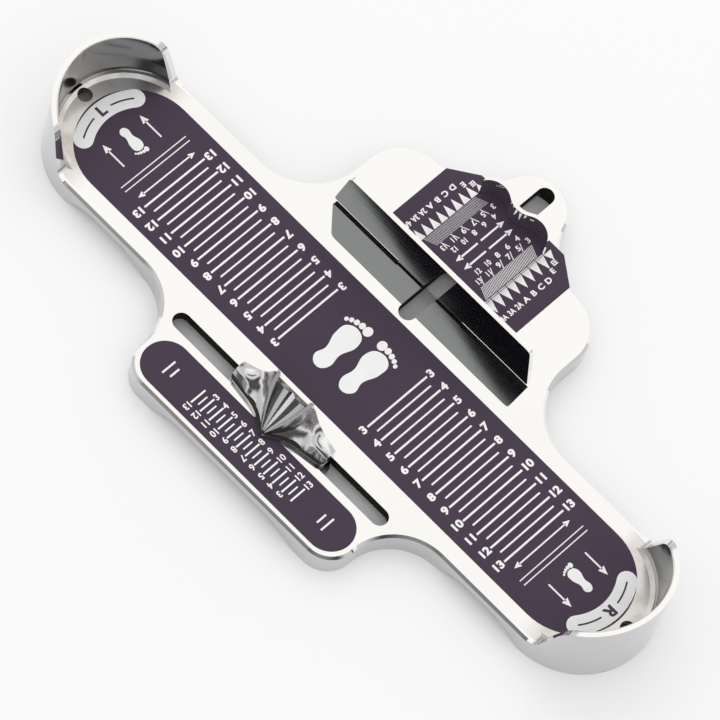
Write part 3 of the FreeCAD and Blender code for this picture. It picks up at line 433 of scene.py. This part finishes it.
def zinc_plate():
    finish = Finish("zinc_plate")
    bloom = finish.noise(scale=120, detail=2)
    spangle = finish.node("ShaderNodeTexVoronoi", {}, {"Vector": finish.place(), "Scale": 900.0})
    finish.shade(
        Base_Color=finish.mix(bloom, ZINC_WARM, ZINC_COOL),
        Metallic=1.0,
        Roughness=0.24 + 0.12 * spangle,
        Normal=finish.relief(spangle, SPANGLE_DEPTH),
    )
    return finish.material


def blued_spring():
    finish = Finish("blued_spring")
    heat = finish.noise(scale=60, detail=2)
    drawn = finish.noise(scale=80, detail=2, stretch=(1, 20, 20))
    finish.shade(
        Base_Color=finish.node(
            "ShaderNodeValToRGB", {"stops": [(0.3, BLUED), (0.55, BRONZED), (0.75, STRAW)]},
            {"Fac": heat}),
        Metallic=1.0,
        Roughness=0.25 + 0.12 * drawn,
        Normal=finish.relief(drawn, DRAWN_DEPTH),
    )
    return finish.material


# %% Put each finish on its solids
PLATED = [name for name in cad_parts
          if "screw" in name or "washer" in name or "clamp" in name]
FINISHES = {
    casting_finish: ["base_casting"],
    bar_finish: ["width_bar"],
    pointer_finish: ["arch_pointer"],
    dyed_sheet: ["foot_scale_plate", "arch_scale_plate", "width_scale_plate_left",
                 "width_scale_plate_right", "width_chart_plate"],
    zinc_plate: PLATED,
    blued_spring: ["width_spring", "arch_spring"],
}
for make, names in FINISHES.items():
    material = make()
    for name in names:
        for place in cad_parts[name].material_slots:
            place.material = material
    print(material.name, "on", len(names), "solids")
enamel = white_enamel()

# %% [markdown]
# ## Print as thin solids
#
# The scales could be painted by shader, but a mark a millimetre wide wants a crisp edge from any
# distance, so each is a flat solid as thick as a coat of enamel. `Print` gathers the marks of one
# sheet in one mesh. Numbers come from Blender's own font, as text turned into a mesh.

# %% Sizes of the enamel, and points on arcs
ENAMEL = 0.05 * MM
CAP_HEIGHT = 0.72           # a capital's height in Blender's font, to a text size of 1
ARC_STEPS, END_STEPS = 24, 8
FONT_STEPS, BLOT_STEPS, HALF_THICK = 3, 6, 0.5
JOINS_WITHIN = 0.002 * MM


def polar(centre, radius, angle):
    return (centre[0] + radius * math.cos(angle), centre[1] + radius * math.sin(angle))


def round_end(centre, radius, start):
    """The points of a half circle after its first and before its last."""
    return [polar(centre, radius, start + math.pi * i / END_STEPS) for i in range(1, END_STEPS)]


# %% Print: all the marks of one sheet
class Print:
    """Marks that stand a coat of enamel above a level."""

    def __init__(self, level):
        self.level = level
        self.marks = bmesh.new()

    def patch(self, outline):
        """A flat solid inside a counter-clockwise outline of (x, y)."""
        low = [self.marks.verts.new((x, y, self.level)) for x, y in outline]
        high = [self.marks.verts.new((x, y, self.level + ENAMEL)) for x, y in outline]
        self.marks.faces.new(high)
        self.marks.faces.new(reversed(low))
        for i, (a, b) in enumerate(zip(low, high)):
            self.marks.faces.new((low[i - 1], a, b, high[i - 1]))

    def line(self, start, end, width):
        """A straight stroke with square ends."""
        start, end = Vector(start), Vector(end)
        side = (end - start).normalized().orthogonal() * width / 2
        self.patch([start - side, start + side, end + side, end - side][::-1])

    def band(self, centre, radius, width, middle, half_angle):
        """A stroke along an arc with round ends; middle is the direction of its middle."""
        first, step = middle - half_angle, 2 * half_angle / ARC_STEPS
        ring = [first + step * i for i in range(ARC_STEPS + 1)]
        outer = [polar(centre, radius + width / 2, angle) for angle in ring]
        inner = [polar(centre, radius - width / 2, angle) for angle in reversed(ring)]
        after = round_end(polar(centre, radius, ring[-1]), width / 2, ring[-1])
        before = round_end(polar(centre, radius, ring[0]), width / 2, ring[0] + math.pi)
        self.patch(outer + after + inner + before)

    def number(self, text, place, height, turn, squeeze, weight):
        """Text centred on place, height tall, turned in the plane of the sheet."""
        letters = bpy.data.curves.new("mark", "FONT")
        letters.body = str(text)
        letters.align_x = letters.align_y = "CENTER"
        letters.resolution_u = FONT_STEPS
        letters.offset = weight
        letters.extrude = HALF_THICK
        self.stamp(letters, place, Vector((height * squeeze, height)) / CAP_HEIGHT, turn)

    def blot(self, points, place, size, turn):
        """A smooth closed shape through a few points, drawn to a unit length."""
        curve = bpy.data.curves.new("mark", "CURVE")
        curve.dimensions, curve.fill_mode = "2D", "BOTH"
        curve.extrude, curve.resolution_u = HALF_THICK, BLOT_STEPS
        loop = curve.splines.new("BEZIER")
        loop.bezier_points.add(len(points) - 1)
        for knot, (x, y) in zip(loop.bezier_points, points):
            knot.co = (x, y, 0)
            knot.handle_left_type = knot.handle_right_type = "AUTO"
        loop.use_cyclic_u = True
        self.stamp(curve, place, size, turn)

    def stamp(self, curve, place, size, turn):
        """Turns a curve one unit thick into a mesh and adds it."""
        holder = bpy.data.objects.new("mark", curve)
        mesh = bpy.data.meshes.new_from_object(holder)
        middle = (*place, self.level + ENAMEL / 2)
        mesh.transform(Matrix.Translation(middle) @ Matrix.Rotation(turn, 4, "Z")
                       @ Matrix.Diagonal((*size, ENAMEL, 1)))
        self.marks.from_mesh(mesh)
        bpy.data.meshes.remove(mesh)
        bpy.data.curves.remove(curve)

    def finish(self, name, material, body):
        """Makes the object and lets it ride on its body."""
        bmesh.ops.remove_doubles(self.marks, verts=self.marks.verts, dist=JOINS_WITHIN)
        bmesh.ops.recalc_face_normals(self.marks, faces=self.marks.faces)
        mesh = bpy.data.meshes.new(name)
        self.marks.to_mesh(mesh)
        self.marks.free()
        mesh.materials.append(material)
        piece = bpy.data.objects.new(name, mesh)
        bpy.context.scene.collection.objects.link(piece)
        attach(piece, body)
        print(name, len(mesh.polygons), "faces")


# %% [markdown]
# ## The foot scale
#
# Both halves carry the same scale, from size 3 near the middle to 13 at the far end, because the
# heel goes in the opposite cup. A whole size has a long line and a number at each end, a half size
# a shorter line. The numbers' heads point to the middle.

# %% Lines and numbers of the foot scale
LEFT, RIGHT = -1, 1         # the sign of X on each side
UPRIGHT, TO_LEFT, TO_RIGHT = 0.0, math.radians(90), math.radians(-90)
SIZE_STEP = INCH / 3
FIRST_SIZE, LAST_SIZE = 3, 13
FIRST_LINE = 28.0 * MM
WHOLE_LINE, HALF_LINE = 18.6 * MM, 16.8 * MM
WHOLE_WIDTH, HALF_WIDTH = 0.95 * MM, 0.8 * MM
SIZE_HEIGHT = 3.75 * MM
NUMBER_GAP, HALF_DIGIT = 1.3 * MM, 1.15 * MM
print("one size in mm:", round(SIZE_STEP / MM, 3))


def heads_inwards(side):
    """The turn of text whose letters have their heads towards the middle."""
    return TO_LEFT if side == RIGHT else TO_RIGHT


def print_foot_scale(sheet_print, side):
    for step in range(2 * (LAST_SIZE - FIRST_SIZE) + 1):
        x = side * (FIRST_LINE + step * SIZE_STEP / 2)
        reach, width = (HALF_LINE, HALF_WIDTH) if step % 2 else (WHOLE_LINE, WHOLE_WIDTH)
        sheet_print.line((x, foot_line - reach), (x, foot_line + reach), width)
        if step % 2:
            continue
        size = str(FIRST_SIZE + step // 2)
        away = WHOLE_LINE + NUMBER_GAP + HALF_DIGIT * len(size)
        for end in (-1, 1):
            sheet_print.number(size, (x, foot_line + end * away), SIZE_HEIGHT,
                               heads_inwards(side), squeeze=1.15, weight=0.045)


# %% [markdown]
# The space in the middle and behind the scales holds plain signs: a pair of soles, and a sole
# between two arrows that says which way the heel goes. A sole is one smooth loop through nine
# points and five round toes.

# %% Soles and arrows
SOLE = [(0.05, -0.5), (0.17, -0.38), (0.15, -0.12), (0.22, 0.18), (0.12, 0.36),
        (-0.12, 0.33), (-0.16, 0.1), (-0.08, -0.18), (-0.11, -0.4)]
TOES = [(0.15, 0.47, 0.075), (0.03, 0.475, 0.05), (-0.065, 0.455, 0.043),
        (-0.145, 0.425, 0.037), (-0.21, 0.38, 0.032)]
TOE_STRETCH = 1.15
CIRCLE = [(1, 0), (0, 1), (-1, 0), (0, -1)]
ARROW_HALF, ARROW_LENGTH, ARROW_LAP = 0.6, 1.4, 0.2


def print_sole(sheet_print, place, length, turn, hand):
    """A bare foot's print. hand is 1 for a left foot and -1 for a right one."""
    sheet_print.blot([(hand * x, y) for x, y in SOLE], place, (length, length), turn)
    swing = Matrix.Rotation(turn, 2)
    for x, y, radius in TOES:
        toe = Vector(place) + swing @ Vector((hand * x, y)) * length
        across = radius * length
        sheet_print.blot(CIRCLE, toe, (across, across * TOE_STRETCH), turn)


def print_arrow(sheet_print, tail, tip, width, head):
    """A straight arrow with a filled head."""
    tail, tip = Vector(tail), Vector(tip)
    way = (tip - tail).normalized()
    side = way.orthogonal() * head * ARROW_HALF
    neck = tip - way * head * ARROW_LENGTH
    sheet_print.patch([tip, neck - side, neck + side][::-1])
    sheet_print.line(tail, neck + way * ARROW_LAP * head, width)


# %% Signs of the foot scale
CROSS_AT, CROSS_REACH, CROSS_WIDTH, CROSS_HEAD = 117.8 * MM, 17.5 * MM, 0.7 * MM, 2.4 * MM
FINE_AT, FINE_REACH, FINE_WIDTH = (123.6 * MM, 126.2 * MM), 20 * MM, 0.5 * MM
HEEL_SOLE_AT, HEEL_SOLE = 140.0 * MM, 15 * MM
HEEL_ARROW, HEEL_ARROW_AWAY = (133 * MM, 147 * MM), 11.5 * MM
HEEL_ARROW_WIDTH, HEEL_ARROW_HEAD = 0.8 * MM, 3 * MM
ARC_CENTRE, ARC_RADIUS, ARC_WIDTH, ARC_HALF = 131.4 * MM, 28.1 * MM, 9.2 * MM, math.radians(34.7)
MIDDLE_SOLE, MIDDLE_SOLE_AWAY = 30 * MM, 9.0 * MM


def print_heel_sign(sheet_print, side):
    """Behind the scale: an arrow both ways, two fine lines, and a sole between two arrows."""
    x = side * CROSS_AT
    for end in (-1, 1):
        print_arrow(sheet_print, (x, foot_line), (x, foot_line + end * CROSS_REACH),
                    CROSS_WIDTH, CROSS_HEAD)
    for away in FINE_AT:
        x = side * away
        sheet_print.line((x, foot_line - FINE_REACH), (x, foot_line + FINE_REACH), FINE_WIDTH)
    print_sole(sheet_print, (side * HEEL_SOLE_AT, foot_line), HEEL_SOLE, heads_inwards(side), side)
    tail, tip = HEEL_ARROW
    for end in (-1, 1):
        y = foot_line + end * HEEL_ARROW_AWAY
        print_arrow(sheet_print, (side * tail, y), (side * tip, y),
                    HEEL_ARROW_WIDTH, HEEL_ARROW_HEAD)


def heel_arc(sheet_print, side, width, swing, half_angle):
    """A band on the arc that the heel covers, swung away from its middle."""
    middle = 0 if side == RIGHT else math.pi
    sheet_print.band((side * ARC_CENTRE, foot_line), ARC_RADIUS, width, middle + swing, half_angle)


foot_print = Print(top_face)
for side in (LEFT, RIGHT):
    print_foot_scale(foot_print, side)
    print_heel_sign(foot_print, side)
    heel_arc(foot_print, side, ARC_WIDTH, 0, ARC_HALF)
    print_sole(foot_print, (side * MIDDLE_SOLE_AWAY, foot_line), MIDDLE_SOLE, UPRIGHT, -side)
foot_print.finish("foot_scale_print", enamel, "base")

# %% [markdown]
# Each heel arc says which heel it is for, in dye on the enamel: the letter, and a thin line each
# side.

# %% The letter on each heel arc
LETTER_AT, LETTER_HEIGHT = 159.5 * MM, 5.2 * MM
DYE_LINE, DYE_LINE_SWING, DYE_LINE_HALF = 0.8 * MM, math.radians(22), math.radians(11)

dye = Finish("violet_dye")
dye.shade(Base_Color=VIOLET, Roughness=0.45)
heel_print = Print(top_face + ENAMEL)
for side, letter in ((LEFT, "L"), (RIGHT, "R")):
    heel_print.number(letter, (side * LETTER_AT, foot_line), LETTER_HEIGHT, heads_inwards(-side),
                      squeeze=1.1, weight=0.04)
    for end in (-1, 1):
        heel_arc(heel_print, side, DYE_LINE, end * DYE_LINE_SWING, DYE_LINE_HALF)
heel_print.finish("heel_letters", dye.material, "base")

# %% [markdown]
# ## The arch scale
#
# The pointer's tip runs along a row of ticks. One row of numbers counts up and the other down, one
# for each foot, so the upper numbers start two ticks later than the lower ones end. Two strokes
# close the row at each end.

# %% Ticks and numbers of the arch scale
ARCH_STEP = SIZE_STEP / 3
ARCH_TICKS = 23
TICKS_TO_A_SIZE, ROW_SHIFT = 2, 2
LONG_TICK, SHORT_TICK = (4.4 * MM, 0.85 * MM), (2.8 * MM, 0.7 * MM)
ARCH_NUMBER, ARCH_NUMBER_GAP, ARCH_HALF_DIGIT = 3.2 * MM, 5.0 * MM, 0.85 * MM
END_STROKES = ((49.5 * MM, 4.0 * MM), (45.8 * MM, 2.8 * MM))
END_STROKE_WIDTH = 0.9 * MM


def print_arch_scale(sheet_print):
    middle = (ARCH_TICKS - 1) / 2
    for tick in range(ARCH_TICKS):
        x = (tick - middle) * ARCH_STEP
        reach, width = SHORT_TICK if tick % 2 else LONG_TICK
        sheet_print.line((x, arch_line - reach), (x, arch_line + reach), width)
    for size in range(FIRST_SIZE, LAST_SIZE + 1):
        x = (TICKS_TO_A_SIZE * (size - FIRST_SIZE) + ROW_SHIFT - middle) * ARCH_STEP
        away = ARCH_NUMBER_GAP + ARCH_HALF_DIGIT * len(str(size))
        for end, turn in ((1, TO_LEFT), (-1, TO_RIGHT)):
            sheet_print.number(size, (end * x, arch_line + end * away), ARCH_NUMBER, turn,
                               squeeze=0.95, weight=0.03)


def print_end_strokes(sheet_print):
    for side in (LEFT, RIGHT):
        for away, reach in END_STROKES:
            x = side * away
            sheet_print.line((x, arch_line - reach), (x, arch_line + reach), END_STROKE_WIDTH)


arch_print = Print(arch_high.z)
print_arch_scale(arch_print)
print_end_strokes(arch_print)
arch_print.finish("arch_scale_print", enamel, "base")

# %% [markdown]
# ## The width scale
#
# A row of white points runs along each side of the slide, one for each width. The last two letters
# step inwards, because the sheet's corner is clipped there.

# %% Points and letters of the width scale
WIDTH_STEP = INCH * 3 / 16
WIDTHS = ["4A", "3A", "2A", "A", "B", "C", "D", "E", "EE"]
WIDTH_START = 65.2 * MM
POINT_BASE, POINT_TIP, LAST_TIP, POINT_HALF = 20.1 * MM, 26.8 * MM, 24.6 * MM, 2.3 * MM
WIDTH_LETTER_AT, WIDTH_LETTER = 30.5 * MM, 2.75 * MM
ONE_LETTER, TWO_LETTERS = 1.15, 0.8
CLIPPED = {"E": (28.4 * MM, 98.6 * MM, 2.6 * MM), "EE": (25.9 * MM, 102.2 * MM, 2.5 * MM)}
print("one width in mm:", round(WIDTH_STEP / MM, 3))


def print_width_scale(sheet_print, side):
    for step, width in enumerate(WIDTHS):
        away = WIDTH_START + step * WIDTH_STEP
        base, tip = side * POINT_BASE, side * (LAST_TIP if width == "EE" else POINT_TIP)
        half, middle = side * POINT_HALF, foot_line + away
        sheet_print.patch([(base, middle - half), (tip, middle), (base, middle + half)])
        x, away, height = CLIPPED.get(width, (WIDTH_LETTER_AT, away, WIDTH_LETTER))
        squeeze = TWO_LETTERS if len(width) > 1 else ONE_LETTER
        sheet_print.number(width, (side * x, foot_line + away), height, heads_inwards(side),
                           squeeze=squeeze, weight=0.035)


for hand, side in (("left", LEFT), ("right", RIGHT)):
    width_print = Print(top_face)
    print_width_scale(width_print, side)
    width_print.finish(f"width_scale_print_{hand}", enamel, "base")

# %% [markdown]
# ## The chart on the slide
#
# The chart turns a foot length into the place where the width is read: slanted lines lead from
# each length to the slide's edge. It is the finest print on the device, so its lines are thin and
# many.

# %% Lines and numbers of the chart
CHART_STEP = 3.15 * MM
CHART_TOP = 98.9 * MM
CHART_LINES, LINES_TO_A_STEP = 42, 4
CHART_LINE_WIDTH = {LEFT: 0.16 * MM, RIGHT: 0.28 * MM}
LINES_START, LINES_END, SLANT = 13.6 * MM, 19.6 * MM, 2.6 * MM
ODD_NUMBERS, EVEN_NUMBERS, CHART_NUMBER, NUMBERS_LIFT = 11.2 * MM, 7.4 * MM, 2.7 * MM, 0.5 * MM
ONE_DIGIT, TWO_DIGITS = 1.1, 0.85
LEADER_START, LEADER_DROP, LEADER_WIDTH = 9.6 * MM, 0.8 * MM, 0.4 * MM
LEADER_SLANT = SLANT * 2 / 3
CHART_ARROWS = ((83 * MM, 98 * MM), (81 * MM, 67 * MM))
CHART_ARROW_AT, CHART_ARROW_WIDTH, CHART_ARROW_HEAD = 2.6 * MM, 0.9 * MM, 2.6 * MM


def print_chart(sheet_print, side):
    """Fine slanted lines, and numbers in two rows whose inner row has leaders."""
    for i in range(CHART_LINES):
        y = foot_line + CHART_TOP - i * CHART_STEP / LINES_TO_A_STEP
        sheet_print.line((side * LINES_START, y), (side * LINES_END, y - SLANT),
                         CHART_LINE_WIDTH[side])
    for size in range(FIRST_SIZE, LAST_SIZE + 1):
        y = foot_line + CHART_TOP + NUMBERS_LIFT - (size - FIRST_SIZE) * CHART_STEP
        x = ODD_NUMBERS if size % 2 else EVEN_NUMBERS
        sheet_print.number(size, (side * x, y), CHART_NUMBER, heads_inwards(side),
                           squeeze=TWO_DIGITS if size > 9 else ONE_DIGIT, weight=0.03)
        if size % 2 == 0:
            y = y - LEADER_DROP
            sheet_print.line((side * LEADER_START, y), (side * LINES_START, y - LEADER_SLANT),
                             LEADER_WIDTH)


def print_chart_arrows(sheet_print, side):
    for start, end in CHART_ARROWS:
        x = side * CHART_ARROW_AT
        print_arrow(sheet_print, (x, foot_line + start), (x, foot_line + end),
                    CHART_ARROW_WIDTH, CHART_ARROW_HEAD)


chart_print = Print(chart_high.z)
for side in (LEFT, RIGHT):
    print_chart(chart_print, side)
    print_chart_arrows(chart_print, side)
chart_print.finish("width_chart_print", enamel, "width_slider")

# %% [markdown]
# ## Camera
#
# A long lens well above the device, a little to its right and rolled, so the foot bed runs from
# corner to corner of the view.

# %% Camera
AZIMUTH, ELEVATION, ROLL = math.radians(27.16), math.radians(62.64), math.radians(20.0)
DISTANCE, FAR_ENOUGH = 2.557, 20.0
AIM_RIGHT, AIM_UP = 3.25 * MM, -0.96 * MM
LENS, SENSOR = 292.3, 36.0

camera = bpy.data.objects.new("camera", bpy.data.cameras.new("camera"))
camera.data.lens = LENS
camera.data.sensor_width = SENSOR
camera.data.clip_end = FAR_ENOUGH
turned = (Matrix.Rotation(AZIMUTH, 4, "Z") @ Matrix.Rotation(math.pi / 2 - ELEVATION, 4, "X")
          @ Matrix.Rotation(ROLL, 4, "Z"))
aim = Matrix.Translation((0, foot_line, top_face))
camera.matrix_world = aim @ turned @ Matrix.Translation((AIM_RIGHT, AIM_UP, DISTANCE))
bpy.context.scene.collection.objects.link(camera)
bpy.context.scene.camera = camera
print("camera at", [round(c, 3) for c in camera.matrix_world.translation])

# %% [markdown]
# ## Floor
#
# The floor is plain pale paper. White paper under a plain light renders light grey, so it glows a
# little for the eye and for the metal, and not where the device keeps the sky off it: there its
# shadow stays. It is clear from below, so the underside can be looked at too.

# %% Floor
FLOOR_HALF, FLOOR_GAP = 3.0, 0.05 * MM
PAPER, WHITE = (0.93, 0.93, 0.93), (1, 1, 1)
PAPER_GLOW, SHADOW_REACH = 0.6, 60 * MM


def paper():
    """White paper: the eye and the metal see it near white, and the device still shades it."""
    finish = Finish("paper")
    finish.shade(Base_Color=PAPER, Roughness=0.9)
    ray = finish.node("ShaderNodeLightPath")
    seen = ray["Is Camera Ray"] | ray["Is Glossy Ray"] | ray["Is Transmission Ray"]
    open_sky = finish.node(
        "ShaderNodeAmbientOcclusion", {"samples": 8}, {"Distance": SHADOW_REACH})["AO"]
    glow = finish.node("ShaderNodeEmission", {}, {"Color": WHITE, "Strength": 1.0})
    lit = Value(finish, finish.surface.outputs["BSDF"])
    above = finish.node(
        "ShaderNodeMixShader", {}, {0: seen * open_sky * PAPER_GLOW, 1: lit, 2: glow})
    below = finish.node("ShaderNodeNewGeometry")["Backfacing"] | (ray["Transparent Depth"] > 0.5)
    clear = finish.node("ShaderNodeBsdfTransparent")
    one_sided = finish.node("ShaderNodeMixShader", {}, {0: below, 1: above, 2: clear})
    finish.plug(finish.tree.nodes["Material Output"].inputs["Surface"], one_sided)
    return finish.material


corners = [(x * FLOOR_HALF, y * FLOOR_HALF, base_low.z - FLOOR_GAP)
           for x, y in ((-1, -1), (1, -1), (1, 1), (-1, 1))]
floor_mesh = bpy.data.meshes.new("floor")
floor_mesh.from_pydata(corners, [], [(0, 1, 2, 3)])
floor_mesh.materials.append(paper())
floor = bpy.data.objects.new("floor", floor_mesh)
bpy.context.scene.collection.objects.link(floor)
print("floor at z:", round(corners[0][2] / MM, 3))

# %% [markdown]
# ## Lamp and room
#
# Polished metal has no colour of its own: it shows the room. Most of this room is light, so the
# device reads as aluminium from every side, and a white sheet overhead and behind is what its flat
# top mirrors. The corner between bar and top mirrors the way in front and above, where a small
# dark curtain hangs with a black gap in it. The gap's straight edge crosses the bar aslant, grey on
# one side and black on the other. Only the metal sees all this: matt things are lit by an even
# grey and one large soft lamp, so a colour renders about as it is written.

# %% What the room is made of
LAMP_PLACE, LAMP_SIZE, LAMP_GLOW = (-0.9, 0.9, 1.5), 1.4, 1.0
ROOM_LIGHT = (0.86, 0.86, 0.86)
WHITE_SHEET, PALE_SHEET = (1.055, 1.045, 1.03), (0.80, 0.81, 0.83)
WALLS, DARK_WALLS = (0.62, 0.62, 0.63), (0.05, 0.05, 0.055)
CURTAIN, CURTAIN_DARK, GAP = (0.29, 0.305, 0.32), (0.05, 0.05, 0.055), (0.004, 0.004, 0.006)

# Each pair is where something begins and ends along X, Y or Z of the way that a mirror looks.
LIGHT_LEFT, LIGHT_BEHIND = (-0.6, 0.0), (-0.3, 0.15)
SHEET_WHITENS, SHEET_ABOVE = (-0.1, 0.34), (0.35, 0.6)
CURTAIN_LEFT, CURTAIN_RIGHT = (-0.48, -0.38), (0.4, 0.5)
CURTAIN_FRONT, CURTAIN_BACK, CURTAIN_DARKENS = (-0.62, -0.52), (-0.36, -0.26), (-0.16, 0.0)
GAP_EDGE, EDGE_TILT, EDGE_SOFT = -0.4052, -0.089, 0.0004


def soft_box(name, place, size, glow):
    """A square lamp that points at the device. Metal mirrors the room instead of its hard edge."""
    lamp = bpy.data.lights.new(name, "AREA")
    lamp.shape, lamp.size = "SQUARE", size
    lamp.energy = glow * math.pi * size * size
    holder = bpy.data.objects.new(name, lamp)
    holder.location = place
    holder.rotation_euler = Vector(place).to_track_quat("Z", "Y").to_euler()
    holder.visible_glossy = False
    bpy.context.scene.collection.objects.link(holder)
    print(name, "gives", round(lamp.energy, 2), "W")


# %% The room
class Room(Finish):
    """The world: what lights the device, and what its metal mirrors."""

    def __init__(self, name):
        self.world = bpy.data.worlds.new(name)
        self.world.use_nodes = True
        self.tree = self.world.node_tree
        self.surface = self.tree.nodes["Background"]


def walls_and_sheet(room, x, y, z):
    """Light walls, dark only in front on the right, and the sheet overhead."""
    lit = (1 - x.between(*LIGHT_LEFT)) | y.between(*LIGHT_BEHIND)
    walls = room.mix(lit, DARK_WALLS, WALLS)
    sheet = room.mix(y.between(*SHEET_WHITENS), PALE_SHEET, WHITE_SHEET)
    return room.mix(z.between(*SHEET_ABOVE), walls, sheet)


def studio_room():
    room = Room("room")
    way = room.parts(room.node("ShaderNodeTexCoord")["Generated"])
    x, y, z = way["X"], way["Y"], way["Z"]
    curtain = x.between(*CURTAIN_LEFT) * (1 - x.between(*CURTAIN_RIGHT))
    curtain = curtain * y.between(*CURTAIN_FRONT) * (1 - y.between(*CURTAIN_BACK)) * (z > 0.0)
    cloth = room.mix(x.between(*CURTAIN_DARKENS), CURTAIN, CURTAIN_DARK)
    edge = y + EDGE_TILT * x
    gap = curtain * (1 - edge.between(GAP_EDGE - EDGE_SOFT, GAP_EDGE + EDGE_SOFT))
    mirrored = room.mix(gap, room.mix(curtain, walls_and_sheet(room, x, y, z), cloth), GAP)
    metal_looks = room.node("ShaderNodeLightPath")["Is Glossy Ray"]
    room.shade(Color=room.mix(metal_looks, ROOM_LIGHT, mirrored), Strength=1.0)
    return room.world


soft_box("top_light", LAMP_PLACE, LAMP_SIZE, LAMP_GLOW)
bpy.context.scene.world = studio_room()
bpy.context.scene.view_settings.view_transform = "Standard"
